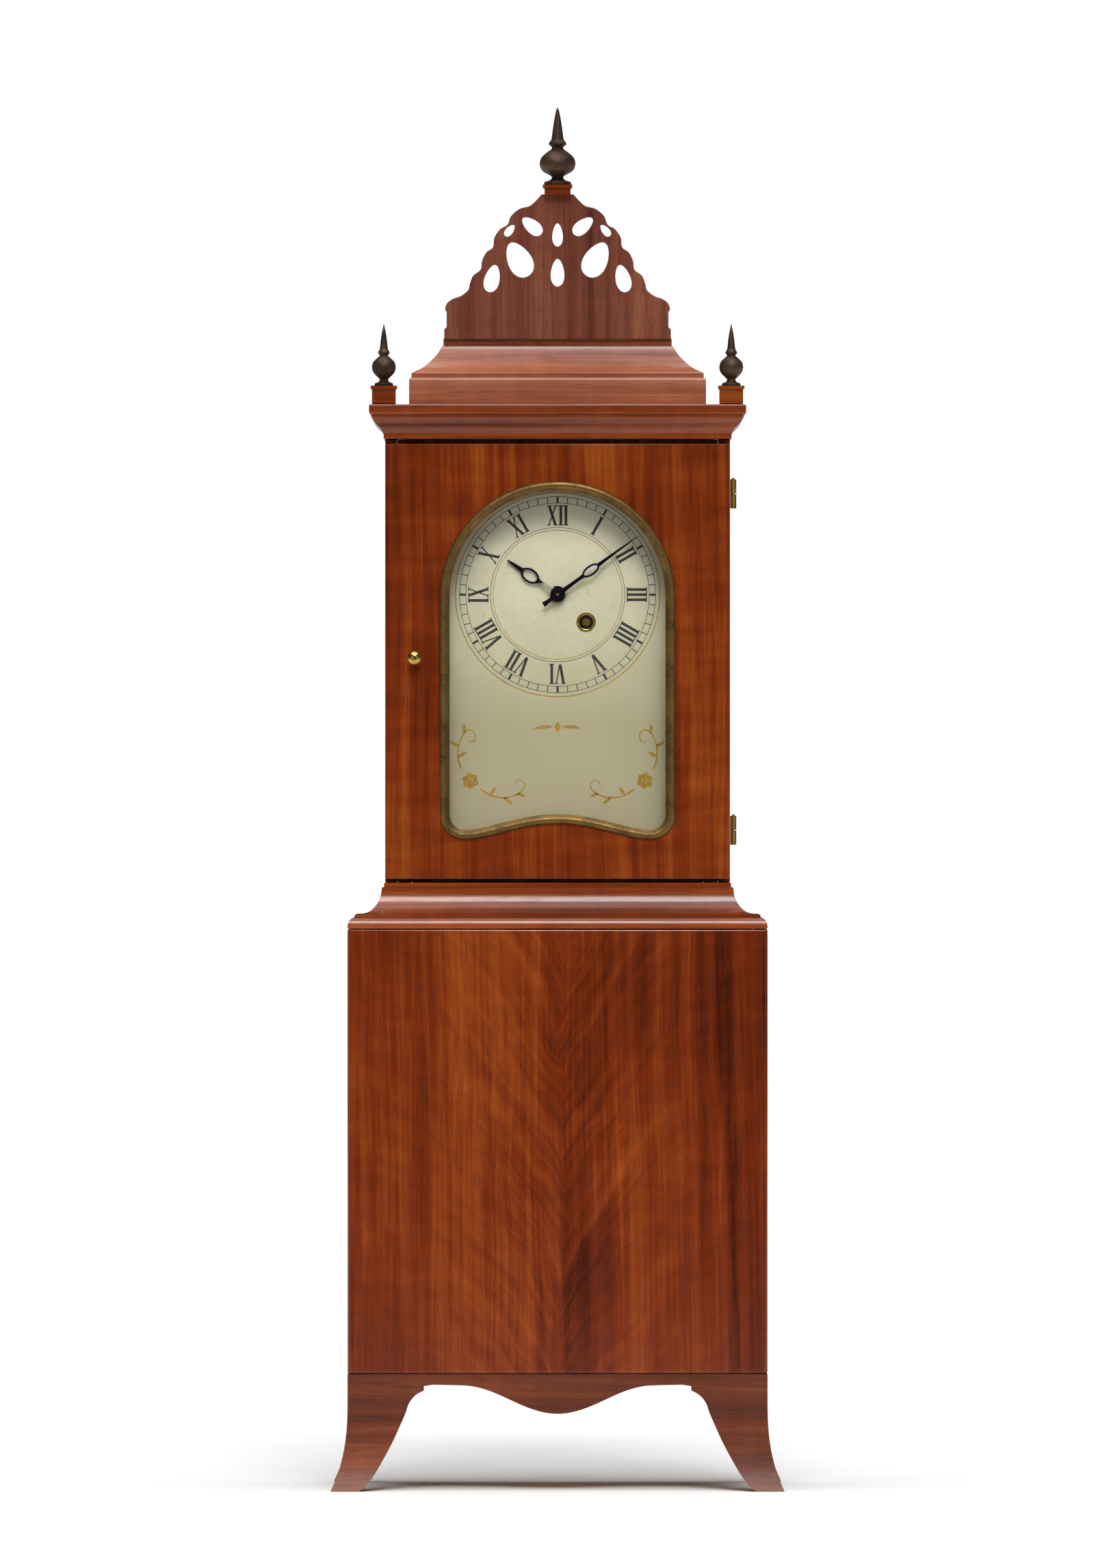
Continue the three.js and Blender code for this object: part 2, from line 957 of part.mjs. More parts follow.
PHASE.hour = mesh(0, 12, 48, MIN.x, MIN.z, CX, CZ);

const arborHoles = [
  ring(CX, CZ, 2, 12),
  ring(BARREL.x, BARREL.z, 3.6, 14),
  ring(THIRD.x, THIRD.z, 1.4, 10),
  ring(ESC.x, ESC.z, 1.4, 10),
  ring(0, PIVOT_Z, 1.7, 12),
];
const platePts = [
  [-50, 557],
  [50, 557],
  [50, 684],
  [44, 690],
  [-44, 690],
  [-50, 684],
];
put(
  "front_plate",
  join(
    prismXZ(platePts, PLATE_F0, PLATE_F1, arborHoles),
    rodY(MIN.x, MIN.z, 1.3, -23, PLATE_F0 + 0.4, 10),
  ),
  BRASS,
  0.35,
  0.9,
);
put("back_plate", prismXZ(platePts, PLATE_B0, PLATE_B1, arborHoles), BRASS, 0.35, 0.9);
[
  ["lower_left", -43, 564],
  ["lower_right", 43, 564],
  ["upper_left", -43, 682],
  ["upper_right", 43, 682],
].forEach(([n, x, z]) =>
  put(
    "pillar_" + n,
    turnY(
      [
        [0, PLATE_F1 + GAP],
        [4.4, PLATE_F1 + GAP],
        [4.4, -6.6],
        [3, -4.6],
        [3, 21],
        [4.4, 23],
        [4.4, PLATE_B0 - GAP],
        [0, PLATE_B0 - GAP],
      ],
      x,
      z,
      12,
    ),
    BRASS,
    0.35,
    0.9,
  ),
);
put(
  "seat_board",
  cut(
    box(-62, 62, -18, BACK - 8 - GAP, 548, 556.6),
    box(-11, 11, PEND_Y - 6, PEND_Y + 6, 540, 560),
    rodZ(BARREL.x - BARREL.line, WEIGHT.y, 3.4, 540, 560, 12),
  ),
  PINE,
  0.8,
);
for (const [side, s] of [
  ["left", -1],
  ["right", 1],
])
  put(
    "seat_bracket_" + side,
    prismYZ(
      [
        [BACK - 8 - GAP, 490],
        [BACK - 8 - GAP, 547.7],
        [-6, 547.7],
        [-6, 538],
        [50, 490],
      ],
      s === 1 ? 48 : -58,
      s === 1 ? 58 : -48,
    ),
    PINE,
    0.8,
  );
// centre arbor: wheel in front, pinion behind
put(
  "centre_wheel",
  join(
    prismXZ(gear(72, M2), -8.3, -6.8, windows(0, 0, 5.5, 17.4, 1.3)).translate([
      CX,
      0,
      CZ,
    ]),
    rodY(CX, CZ, 4, -8.8, -5.9, 14),
    rodY(CX, CZ, 1.5, -28, 27.6, 12),
    rodY(CX, CZ, 1.1, -37.2, -27.5, 12),
    prismXZ(shift(pin(8, M1, PHASE.centrePinion), CX, CZ), 19, 24.6),
  ),
  BRASS,
  0.35,
  0.9,
);
put(
  "great_wheel",
  join(
    prismXZ(gear(72, M1), 20.6, 22.9, [ring(0, 0, 3.5, 16)]).translate([
      BARREL.x,
      0,
      BARREL.z,
    ]),
    rodY(BARREL.x - 17.2, BARREL.z - 8.6, 1.1, 17.2, 20.9, 10),
  ),
  BRASS,
  0.35,
  0.9,
);
const ratchet = [];
for (let i = 0; i < 24; i++) {
  const a = (2 * Math.PI * i) / 24;
  ratchet.push([14.6 * Math.cos(a), 14.6 * Math.sin(a)]);
  ratchet.push([
    12.9 * Math.cos(a + 0.03),
    12.9 * Math.sin(a + 0.03),
  ]);
}
put(
  "barrel",
  join(
    turnY(
      [
        [0, -5.5],
        [14.6, -5.5],
        [14.6, -4.3],
        [BARREL.r, -3.9],
        [BARREL.r, 14.2],
        [14.2, 14.7],
        [14.2, 16],
        [0, 16],
      ],
      BARREL.x,
      BARREL.z,
      24,
    ),
    prismXZ(shift(ratchet, BARREL.x, BARREL.z), 15.9, 17.8),
    rodY(BARREL.x, BARREL.z, 3.1, -26, 27.6, 14),
    prismXZ(ring(BARREL.x, BARREL.z, 3, 4, Math.PI / 4), -32.2, -25.5),
  ),
  BRASS,
  0.35,
  0.9,
);
// the click rides on a stud of the great wheel and clears the ratchet
const stud = { x: BARREL.x - 17.2, z: BARREL.z - 8.6 };
put(
  "click",
  cut(
    join(
      rodY(stud.x, stud.z, 2.6, 17.4, 19.4, 14),
      prismXZ(
        [
          [stud.x - 2.4, stud.z - 0.4],
          [stud.x + 2.4, stud.z - 0.6],
          [stud.x + 2.6, stud.z + 5],
          [stud.x + 2.2, stud.z + 8.6],
          [stud.x + 0.2, stud.z + 9.2],
          [stud.x - 1.2, stud.z + 5],
        ],
        17.4,
        19.4,
      ),
    ),
    rodY(stud.x, stud.z, 1.4, 10, 30, 12),
  ),
  STEEL,
  0.4,
  0.9,
);
put(
  "third_wheel",
  join(
    prismXZ(gear(63, M3), 12, 13.5, windows(0, 0, 4.6, 13.4, 1.2)).translate([
      THIRD.x,
      0,
      THIRD.z,
    ]),
    rodY(THIRD.x, THIRD.z, 3.2, 10.6, 14.4, 12),
    rodY(THIRD.x, THIRD.z, 1.1, -11.6, 28.1, 10),
    prismXZ(shift(pin(8, M2, PHASE.thirdPinion), THIRD.x, THIRD.z), -9, -5),
  ),
  BRASS,
  0.35,
  0.9,
);
const escPts = [];
for (let i = 0; i < 40; i++) {
  const p = (2 * Math.PI) / 40,
    a = i * p;
  escPts.push([14.7 * Math.cos(a - 0.05), 14.7 * Math.sin(a - 0.05)]);
  escPts.push([ESC.r * Math.cos(a + 0.028), ESC.r * Math.sin(a + 0.028)]);
  escPts.push([14.7 * Math.cos(a + 0.035), 14.7 * Math.sin(a + 0.035)]);
}
put(
  "escape_wheel",
  join(
    prismXZ(escPts, 2.6, 3.9, windows(0, 0, 4.2, 12.4, 1.1)).translate([
      ESC.x,
      0,
      ESC.z,
    ]),
    rodY(ESC.x, ESC.z, 3, 1.4, 5, 12),
    rodY(ESC.x, ESC.z, 1.1, -11.6, 28.1, 10),
    prismXZ(shift(pin(8, M3, PHASE.escPinion), ESC.x, ESC.z), 9.6, 15.4),
  ),
  BRASS,
  0.35,
  0.9,
);
// pallets stay outside the tips of the escape wheel over the whole swing
const reach = ESC.r + 1.5;
const anchorPts = (() => {
  const out = [];
  const arc = (r, a0, a1, n) => {
    for (let i = 0; i <= n; i++) {
      const a = ((a0 + ((a1 - a0) * i) / n) * Math.PI) / 180;
      out.push([r * Math.sin(a), ESC.z + r * Math.cos(a)]);
    }
  };
  arc(reach + 0.2, -50, 50, 12);
  out.push([(reach + 3.6) * Math.sin(0.9), ESC.z + (reach + 3.6) * Math.cos(0.9)]);
  out.push([9, PIVOT_Z - 1.6]);
  out.push([3.4, PIVOT_Z + 2.6]);
  out.push([-3.4, PIVOT_Z + 2.6]);
  out.push([-9, PIVOT_Z - 1.6]);
  out.push([-(reach + 3.6) * Math.sin(0.9), ESC.z + (reach + 3.6) * Math.cos(0.9)]);
  return out;
})();
put(
  "anchor",
  join(
    prismXZ(anchorPts, 2.2, 4.3),
    rodY(0, PIVOT_Z, 1.3, -11.6, 33.4, 12),
    rodY(0, PIVOT_Z, 2.9, 31, 33.4, 12),
    box(-1, 1, 31.2, 33.2, 602, 667),
    box(-3.6, 3.6, 31.2, 33.2, 598, 603),
    box(-3.6, -2.3, 33, 45, 598, 603),
    box(2.3, 3.6, 33, 45, 598, 603),
  ),
  STEEL,
  0.35,
  0.9,
);
put(
  "suspension_cock",
  cut(
    join(
      box(-9, 9, PLATE_B1 + GAP, 31.2, 672.4, 686),
      box(-4.5, 4.5, 31, 46, 673.4, 684),
    ),
    box(-1.5, 1.5, PEND_Y - 4, 50, 670, 690),
  ),
  BRASS,
  0.35,
  0.9,
);
put(
  "suspension_spring",
  box(-0.3, 0.3, PEND_Y - 3, PEND_Y + 3, 657, 681),
  STEEL,
  0.3,
  0.9,
);
put(
  "pendulum_rod",
  join(
    box(-2, 2, PEND_Y - 3.4, PEND_Y + 3.4, 646, 656.7),
    rodZ(0, PEND_Y, 1.5, 220, 647, 10),
  ),
  STEEL,
  0.35,
  0.9,
);
const bobZ = PIVOT_Z - PEND_L;
put(
  "pendulum_bob",
  cut(
    turnY(
      [
        [0, 31],
        [12, 31.7],
        [23, 34.6],
        [30, 38.8],
        [32.5, 41.4],
        [32.5, 42.6],
        [30, 45.2],
        [23, 49.4],
        [12, 52.3],
        [0, 53],
      ],
      0,
      bobZ,
      28,
    ),
    rodZ(0, PEND_Y, 1.9, 200, 320, 10),
  ),
  BRASS,
  0.3,
  0.9,
);
put(
  "rating_nut",
  cut(rodZ(0, PEND_Y, 6, 227.4, 234, 12), rodZ(0, PEND_Y, 1.8, 220, 240, 10)),
  BRASS,
  0.35,
  0.9,
);

// --- motion work and hands ---
put(
  "cannon_pinion",
  cut(
    join(
      prismXZ(shift(gear(12, M4, { add: 0.7, ded: 1.1, tip: 0.16, root: 0.5, turn: 0 }), CX, CZ), -18, -14.6),
      rodY(CX, CZ, 2.4, -33.8, -13, 14),
    ),
    rodY(CX, CZ, 1.8, -40, -10, 12),
  ),
  BRASS,
  0.35,
  0.9,
);
put(
  "minute_wheel",
  cut(
    join(
      prismXZ(
        shift(gear(36, M4, { add: 0.75, ded: 1.05, turn: PHASE.minute }), MIN.x, MIN.z),
        -17.2,
        -15.6,
      ),
      prismXZ(
        shift(gear(12, M2, { add: 0.7, ded: 1.1, tip: 0.16, root: 0.5, turn: 0 }), MIN.x, MIN.z),
        -21.8,
        -17,
      ),
    ),
    rodY(MIN.x, MIN.z, 1.7, -30, -10, 12),
  ),
  BRASS,
  0.35,
  0.9,
);
put(
  "hour_wheel",
  cut(
    join(
      prismXZ(
        shift(gear(48, M2, { add: 0.75, ded: 1.05, turn: PHASE.hour }), CX, CZ),
        -20.8,
        -19.2,
      ),
      rodY(CX, CZ, 4.2, -32.9, -19.2, 16),
    ),
    rodY(CX, CZ, 2.9, -40, -10, 14),
  ),
  BRASS,
  0.35,
  0.9,
);
// hands stand at nine minutes past ten
function hand(boss, bore, body, loops, deg, y0, y1) {
  let s = join(
    prismXZ(ring(0, 0, boss, 18), y0, y1),
    prismXZ(body, y0, y1),
    ...loops.map(([z, a, b]) => prismXZ(petal(0, z, a, b, 90, 16), y0, y1)),
  );
  s = cut(
    s,
    prismXZ(ring(0, 0, bore, 14), y0 - 1, y1 + 1),
    ...loops.map(([z, a, b]) =>
      prismXZ(petal(0, z, a - 1.3, b - 1.3, 90, 16), y0 - 1, y1 + 1),
    ),
  );
  return s.rotate([0, deg, 0]).translate([CX, 0, CZ]);
}
put(
  "minute_hand",
  hand(
    4.2,
    1.35,
    [
      [-1.5, 3],
      [-1.1, 34],
      [-0.9, 50],
      [-0.35, 64],
      [0.35, 64],
      [0.9, 50],
      [1.1, 34],
      [1.5, 3],
      [2.1, -12],
      [-2.1, -12],
    ],
    [[28, 7, 3.6]],
    54,
    -36.9,
    -35.9,
  ),
  BLUE,
  0.4,
  0.6,
);
put(
  "hour_hand",
  hand(
    6,
    4.5,
    [
      [-2, 5],
      [-1.3, 30],
      [-0.4, 42],
      [0.4, 42],
      [1.3, 30],
      [2, 5],
    ],
    [[23, 7, 5]],
    -55.5,
    -33.9,
    -32.9 + 0.2,
  ),
  BLUE,
  0.4,
  0.6,
);

// --- weight, pulley and line ---
const pz = PULLEY_Z;
put(
  "weight",
  join(
    turnZ(
      [
        [0, WEIGHT.z0],
        [20.5, WEIGHT.z0],
        [WEIGHT.r, WEIGHT.z0 + 2],
        [WEIGHT.r, 236],
        [20, 239],
        [8, 241],
        [0, 241],
      ],
      WEIGHT.x,
      WEIGHT.y,
      24,
    ),
    box(WEIGHT.x - 4, WEIGHT.x + 4, WEIGHT.y - 6.2, WEIGHT.y - 4.6, 240, pz + 3),
    box(WEIGHT.x - 4, WEIGHT.x + 4, WEIGHT.y + 4.6, WEIGHT.y + 6.2, 240, pz + 3),
    rodY(WEIGHT.x, pz, 1.3, WEIGHT.y - 6.2, WEIGHT.y + 6.2, 12),
  ),
  IRON,
  0.7,
  0.4,
);
put(
  "weight_pulley",
  cut(
    turnY(
      [
        [0, WEIGHT.y - 3.6],
        [13, WEIGHT.y - 3.6],
        [13, WEIGHT.y - 2.6],
        [PULLEY_R - LINE_R - GAP, WEIGHT.y - 0.6],
        [PULLEY_R - LINE_R - GAP, WEIGHT.y + 0.6],
        [13, WEIGHT.y + 2.6],
        [13, WEIGHT.y + 3.6],
        [0, WEIGHT.y + 3.6],
      ],
      WEIGHT.x,
      pz,
      24,
    ),
    rodY(WEIGHT.x, pz, 1.8, -10, 20, 12),
  ),
  BRASS,
  0.35,
  0.9,
);
const linePath = new THREE.CurvePath();
const P = (x, z) => new THREE.Vector3(x, WEIGHT.y, z);
const lx = WEIGHT.x - PULLEY_R,
  rx = WEIGHT.x + PULLEY_R;
linePath.add(new THREE.LineCurve3(P(rx, 547.6), P(rx, pz)));
for (let i = 0; i < 10; i++) {
  const a = -(Math.PI * i) / 10,
    b = -(Math.PI * (i + 1)) / 10;
  linePath.add(
    new THREE.LineCurve3(
      P(WEIGHT.x + PULLEY_R * Math.cos(a), pz + PULLEY_R * Math.sin(a)),
      P(WEIGHT.x + PULLEY_R * Math.cos(b), pz + PULLEY_R * Math.sin(b)),
    ),
  );
}
linePath.add(new THREE.LineCurve3(P(lx, pz), P(lx, BARREL.z)));
function tube(points, r, n) {
  const rings = points.map((p, i) => {
    const a = points[Math.max(0, i - 1)],
      b = points[Math.min(points.length - 1, i + 1)];
    const t = b.clone().sub(a).normalize(),
      u = new THREE.Vector3(0, 1, 0),
      v = new THREE.Vector3().crossVectors(t, u);
    const out = [];
    for (let k = 0; k < n; k++) {
      const c = (2 * Math.PI * k) / n;
      out.push([
        p.x + r * (Math.cos(c) * u.x + Math.sin(c) * v.x),
        p.y + r * (Math.cos(c) * u.y + Math.sin(c) * v.y),
        p.z + r * (Math.cos(c) * u.z + Math.sin(c) * v.z),
      ]);
    }
    return out;
  });
  return skin(rings, ring(0, 0, r, n));
}
const linePts = [P(rx, 547.6)];
for (const c of linePath.curves) linePts.push(c.v2);
put(
  "gut_line",
  join(tube(linePts, LINE_R, 8), rodZ(rx, WEIGHT.y, 1.6, 545, 547.6, 8)),
  GUT,
  0.7,
);

// middle of the footprint on the origin
const bounds = new THREE.Box3().setFromObject(group);
group.position.y = -(bounds.min.y + bounds.max.y) / 2;
export default group;
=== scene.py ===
"""Looks of the two-part wooden shelf clock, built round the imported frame. Lengths in the helpers are millimetres."""
import math
import random

import bmesh
import bpy
from mathutils import Matrix, Vector
from mathutils.geometry import tessellate_polygon


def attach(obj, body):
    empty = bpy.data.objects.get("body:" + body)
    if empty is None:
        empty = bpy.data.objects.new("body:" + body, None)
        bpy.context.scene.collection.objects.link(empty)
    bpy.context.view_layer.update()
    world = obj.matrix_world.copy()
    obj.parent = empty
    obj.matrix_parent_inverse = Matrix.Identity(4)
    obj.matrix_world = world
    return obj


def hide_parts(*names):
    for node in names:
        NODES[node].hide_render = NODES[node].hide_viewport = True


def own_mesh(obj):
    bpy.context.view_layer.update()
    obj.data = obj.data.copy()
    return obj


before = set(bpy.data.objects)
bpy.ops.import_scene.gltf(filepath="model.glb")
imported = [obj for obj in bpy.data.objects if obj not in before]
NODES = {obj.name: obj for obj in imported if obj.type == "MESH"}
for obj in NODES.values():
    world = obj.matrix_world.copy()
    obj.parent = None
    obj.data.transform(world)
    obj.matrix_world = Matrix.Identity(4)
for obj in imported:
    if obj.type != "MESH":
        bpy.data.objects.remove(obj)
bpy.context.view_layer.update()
scene = bpy.context.scene
rng = random.Random(11)

YS = 8.2  # the row frame is this far behind the drawing's y
LOW_W, LOW_F, BACK = 143.7, -80.0, 75.0
LOW_Z0, LOW_Z1, WAIST_Z1 = 80.0, 384.4, 416.0
HOOD_W, HOOD_F = 118.4, -56.3
HOOD_Z1, CORN_Z1, CORN_OUT = 720.4, 744.0, 10.8
ROOF_W, ROOF_Z1 = 102.0, 791.0
FRET_Y, FRET_T, FRET_TOP = -16.0, 6.0, 889.0
CX, CZ = 0.0, 614.0
OPEN_W, OPEN_TOP, OPEN_BOT, OPEN_RISE = 76.5, 687.0, 449.7, 11.0
PIVOT_Z, PEND_Y, PEND_L = 668.1, 42.0, 400.7


def P(x, y, z):
    return Vector((x * 0.001, (y + YS) * 0.001, z * 0.001))


# ---------------------------------------------------------------- materials
class Nodes:
    """Small helper that builds a node tree."""

    def __init__(self, name):
        self.mat = bpy.data.materials.new(name)
        self.mat.use_nodes = True
        self.t = self.mat.node_tree
        self.t.nodes.clear()
        self.out = self.add("ShaderNodeOutputMaterial")

    def add(self, kind, **kw):
        n = self.t.nodes.new(kind)
        for k, v in kw.items():
            setattr(n, k, v)
        return n

    def link(self, a, b):
        self.t.links.new(a, b)

    def put(self, socket, value):
        if isinstance(value, bpy.types.NodeSocket):
            self.link(value, socket)
        else:
            socket.default_value = value

    def coords(self, scale=(1, 1, 1), rot=(0, 0, 0), loc=(0, 0, 0), src=None):
        m = self.add("ShaderNodeMapping")
        m.inputs["Scale"].default_value = scale
        m.inputs["Rotation"].default_value = rot
        m.inputs["Location"].default_value = loc
        if src is None:
            src = self.add("ShaderNodeTexCoord").outputs["Object"]
        self.link(src, m.inputs["Vector"])
        return m.outputs["Vector"]

    def noise(self, vec, scale=1.0, detail=3.0, rough=0.5, dist=0.0):
        n = self.add("ShaderNodeTexNoise")
        n.inputs["Scale"].default_value = scale
        n.inputs["Detail"].default_value = detail
        n.inputs["Roughness"].default_value = rough
        n.inputs["Distortion"].default_value = dist
        self.link(vec, n.inputs["Vector"])
        return n.outputs["Fac"], n.outputs["Color"]

    def math(self, op, a, b=0.0, c=0.0, clamp=False):
        n = self.add("ShaderNodeMath", operation=op, use_clamp=clamp)
        self.put(n.inputs[0], a)
        self.put(n.inputs[1], b)
        self.put(n.inputs[2], c)
        return n.outputs[0]

    def vmath(self, op, a, b=(0, 0, 0), scale=None):
        n = self.add("ShaderNodeVectorMath", operation=op)
        self.put(n.inputs[0], a)
        if op != "SCALE":
            self.put(n.inputs[1], b)
        if scale is not None:
            self.put(n.inputs["Scale"], scale)
        return n.outputs["Value" if op in ("DISTANCE", "LENGTH", "DOT_PRODUCT") else "Vector"]

    def ramp(self, fac, stops, interp="LINEAR"):
        n = self.add("ShaderNodeValToRGB")
        n.color_ramp.interpolation = interp
        e = n.color_ramp.elements
        while len(e) < len(stops):
            e.new(0.5)
        for el, (p, c) in zip(e, stops):
            el.position = p
            el.color = (*c, 1.0) if len(c) == 3 else c
        self.put(n.inputs["Fac"], fac)
        return n.outputs["Color"]

    def span(self, fac, a, b, lo=0.0, hi=1.0, clamp=True):
        n = self.add("ShaderNodeMapRange", clamp=clamp)
        self.put(n.inputs["Value"], fac)
        n.inputs["From Min"].default_value = a
        n.inputs["From Max"].default_value = b
        n.inputs["To Min"].default_value = lo
        n.inputs["To Max"].default_value = hi
        return n.outputs["Result"]

    def mix(self, fac, a, b, kind="MIX"):
        n = self.add("ShaderNodeMix", data_type="RGBA", blend_type=kind)
        self.put(n.inputs["Factor"], fac)
        for s, v in ((n.inputs["A"], a), (n.inputs["B"], b)):
            pass
        a_in = [s for s in n.inputs if s.name == "A" and s.type == "RGBA"][0]
        b_in = [s for s in n.inputs if s.name == "B" and s.type == "RGBA"][0]
        self.put(a_in, a if not isinstance(a, tuple) else (*a[:3], 1.0))
        self.put(b_in, b if not isinstance(b, tuple) else (*b[:3], 1.0))
        return [s for s in n.outputs if s.type == "RGBA"][0]

    def bump(self, height, strength=0.3, dist=0.0002, normal=None):
        n = self.add("ShaderNodeBump")
        n.inputs["Strength"].default_value = strength
        n.inputs["Distance"].default_value = dist
        self.link(height, n.inputs["Height"])
        if normal is not None:
            self.link(normal, n.inputs["Normal"])
        return n.outputs["Normal"]

    def shader(self, color, rough, normal=None, **kw):
        n = self.add("ShaderNodeBsdfPrincipled")
        self.put(n.inputs["Base Color"], color if not isinstance(color, tuple) else (*color[:3], 1.0))
        self.put(n.inputs["Roughness"], rough)
        if normal is not None:
            self.link(normal, n.inputs["Normal"])
        for k, v in kw.items():
            self.put(n.inputs[k.replace("_", " ")], v)
        self.link(n.outputs[0], self.out.inputs["Surface"])
        return n


def srgb(r, g, b):
    def f(c):
        c /= 255.0
        return c / 12.92 if c <= 0.04045 else ((c + 0.055) / 1.055) ** 2.4

    return (f(r), f(g), f(b))


TURN = {"Z": (0, 0, 0), "X": (0, math.pi / 2, 0), "Y": (math.pi / 2, 0, 0)}


def wood(name, tones, axis="Z", gloss=0.25, coat=0.35, figure=0.0, blobs=(), seed=0, pores=1.0, ripple=0.5):
    """Polished mahogany. tones: dark, middle, light, all linear. Grain runs along axis."""
    m = Nodes(name)
    obj = m.add("ShaderNodeTexCoord").outputs["Object"]
    p = m.coords(rot=TURN[axis], loc=(seed * 0.37, seed * 0.21, seed * 0.53), src=obj)
    _, wc = m.noise(m.coords(scale=(9, 9, 2.2), src=p), detail=2)
    warp = m.vmath("SCALE", m.vmath("SUBTRACT", wc, (0.5, 0.5, 0.5)), scale=0.022)
    q = m.vmath("ADD", p, warp)
    fine, _ = m.noise(m.coords(scale=(520, 520, 9), src=q), detail=5, rough=0.6)
    streak, _ = m.noise(m.coords(scale=(130, 130, 2.6), src=q), detail=4, rough=0.55)
    band, _ = m.noise(m.coords(scale=(30, 30, 1.5), src=q), detail=3, rough=0.5)
    tone, _ = m.noise(m.coords(scale=(5, 5, 4), src=p), detail=2)
    rip, _ = m.noise(m.coords(scale=(26, 26, 95), src=q), detail=2, rough=0.45)
    f = m.math("MULTIPLY", m.math("SUBTRACT", fine, 0.5), 0.55)
    f = m.math("ADD", f, m.math("MULTIPLY", m.math("SUBTRACT", streak, 0.5), 0.85))
    f = m.math("ADD", f, m.math("MULTIPLY", m.math("SUBTRACT", band, 0.5), 0.95))
    f = m.math("ADD", f, m.math("MULTIPLY", m.math("SUBTRACT", tone, 0.5), 0.6))
    f = m.math("ADD", f, m.math("MULTIPLY", m.math("SUBTRACT", rip, 0.5), 0.4 * ripple))
    if figure:
        # feathered figure rising from a middle line
        sep = m.add("ShaderNodeSeparateXYZ")
        m.link(obj, sep.inputs[0])
        _, fc = m.noise(m.coords(scale=(11, 11, 7), src=obj), detail=3, rough=0.55)
        sw = m.add("ShaderNodeSeparateXYZ")
        m.link(fc, sw.inputs[0])
        x = m.math("ADD", sep.outputs["X"], m.math("MULTIPLY", m.math("SUBTRACT", sw.outputs["X"], 0.5), 0.055))
        side = m.math("POWER", m.math("ADD", m.math("ABSOLUTE", x), 0.004), 0.72)
        lvl = m.math("ADD", m.math("MULTIPLY", sep.outputs["Z"], 1.0), m.math("MULTIPLY", side, -0.72))
        lvl = m.math("ADD", lvl, m.math("MULTIPLY", m.math("SUBTRACT", sw.outputs["Y"], 0.5), 0.05))
        comb = m.add("ShaderNodeCombineXYZ")
        m.put(comb.inputs[0], m.math("MULTIPLY", x, 9.0))
        m.put(comb.inputs[2], m.math("MULTIPLY", lvl, 60.0))
        fea, _ = m.noise(comb.outputs[0], detail=5, rough=0.62)
        near = m.span(m.math("ABSOLUTE", x), 0.0, 0.09, 1.0, 0.25)
        f = m.math("ADD", f, m.math("MULTIPLY", m.math("MULTIPLY", m.math("SUBTRACT", fea, 0.5), near), 1.25 * figure))
    for (bx, bz), r, amount in blobs:
        sc = m.vmath("MULTIPLY", obj, (1, 0, 1))
        d = m.vmath("DISTANCE", sc, (bx * 0.001, 0.0, bz * 0.001))
        u = m.math("DIVIDE", d, r * 0.001)
        g = m.math("POWER", 2.718, m.math("MULTIPLY", m.math("MULTIPLY", u, u), -1.0))
        f = m.math("ADD", f, m.math("MULTIPLY", g, amount))
    f = m.math("ADD", f, 0.5, clamp=True)
    dark, mid, light = tones
    col = m.ramp(f, [(0.12, dark), (0.5, mid), (0.9, light)])
    pn, _ = m.noise(m.coords(scale=(1900, 1900, 46), src=q), detail=1, rough=0.4)
    pore = m.span(pn, 0.64, 0.72, 0.0, 1.0)
    col = m.mix(m.math("MULTIPLY", pore, 0.55 * pores), col, tuple(c * 0.28 for c in dark))
    rough = m.math("ADD", gloss, m.math("MULTIPLY", m.math("SUBTRACT", streak, 0.5), 0.16))
    rough = m.math("ADD", rough, m.math("MULTIPLY", pore, 0.2))
    h = m.math("SUBTRACT", m.math("MULTIPLY", fine, 0.35), m.math("MULTIPLY", pore, 0.7 * pores))
    h = m.math("ADD", h, m.math("MULTIPLY", rip, 0.25 * ripple))
    m.shader(col, rough, m.bump(h, 0.16, 0.00025), Coat_Weight=coat * 0.6, Coat_Roughness=0.12, Specular_IOR_Level=0.3)
    return m.mat


def metal(name, base, dark, rough=0.3, tarnish_and_shade=0.5, streak=None, metallic=1.0, scale=60):
    """Metal with tarnish in patches and fine scratches; on the bezel the heavy dark patches are painted shade as well.
    """
    m = Nodes(name)
    obj = m.add("ShaderNodeTexCoord").outputs["Object"]
    a, _ = m.noise(m.coords(scale=(scale,) * 3, src=obj), detail=5, rough=0.6)
    b, _ = m.noise(m.coords(scale=(scale * 9,) * 3, src=obj), detail=3, rough=0.6)
    st = streak or (900, 900, 60)
    s, _ = m.noise(m.coords(scale=st, src=obj), detail=3, rough=0.6)
    k = m.math("ADD", m.math("MULTIPLY", a, 0.7), m.math("MULTIPLY", b, 0.3))
    k = m.span(k, 0.42, 0.66, 0.0, tarnish_and_shade)
    col = m.mix(k, base, dark)
    r = m.math("ADD", m.math("ADD", rough, m.math("MULTIPLY", k, 0.25)), m.math("MULTIPLY", m.math("SUBTRACT", s, 0.5), 0.14))
    m.shader(col, r, m.bump(m.math("ADD", s, m.math("MULTIPLY", b, 0.6)), 0.12, 0.0001), Metallic=metallic)
    return m.mat


MAH = (srgb(76, 24, 4), srgb(122, 49, 12), srgb(158, 78, 28))
MAH_D = (srgb(77, 36, 26), srgb(121, 65, 48), srgb(154, 93, 69))
# painted light: a lighter copy of the mahogany for the cornice and waist mouldings, standing in for the light on their
# top-lit curves
MAH_PAINTED_LIGHT_MOULD = (srgb(84, 30, 8), srgb(134, 58, 19), srgb(170, 90, 40))
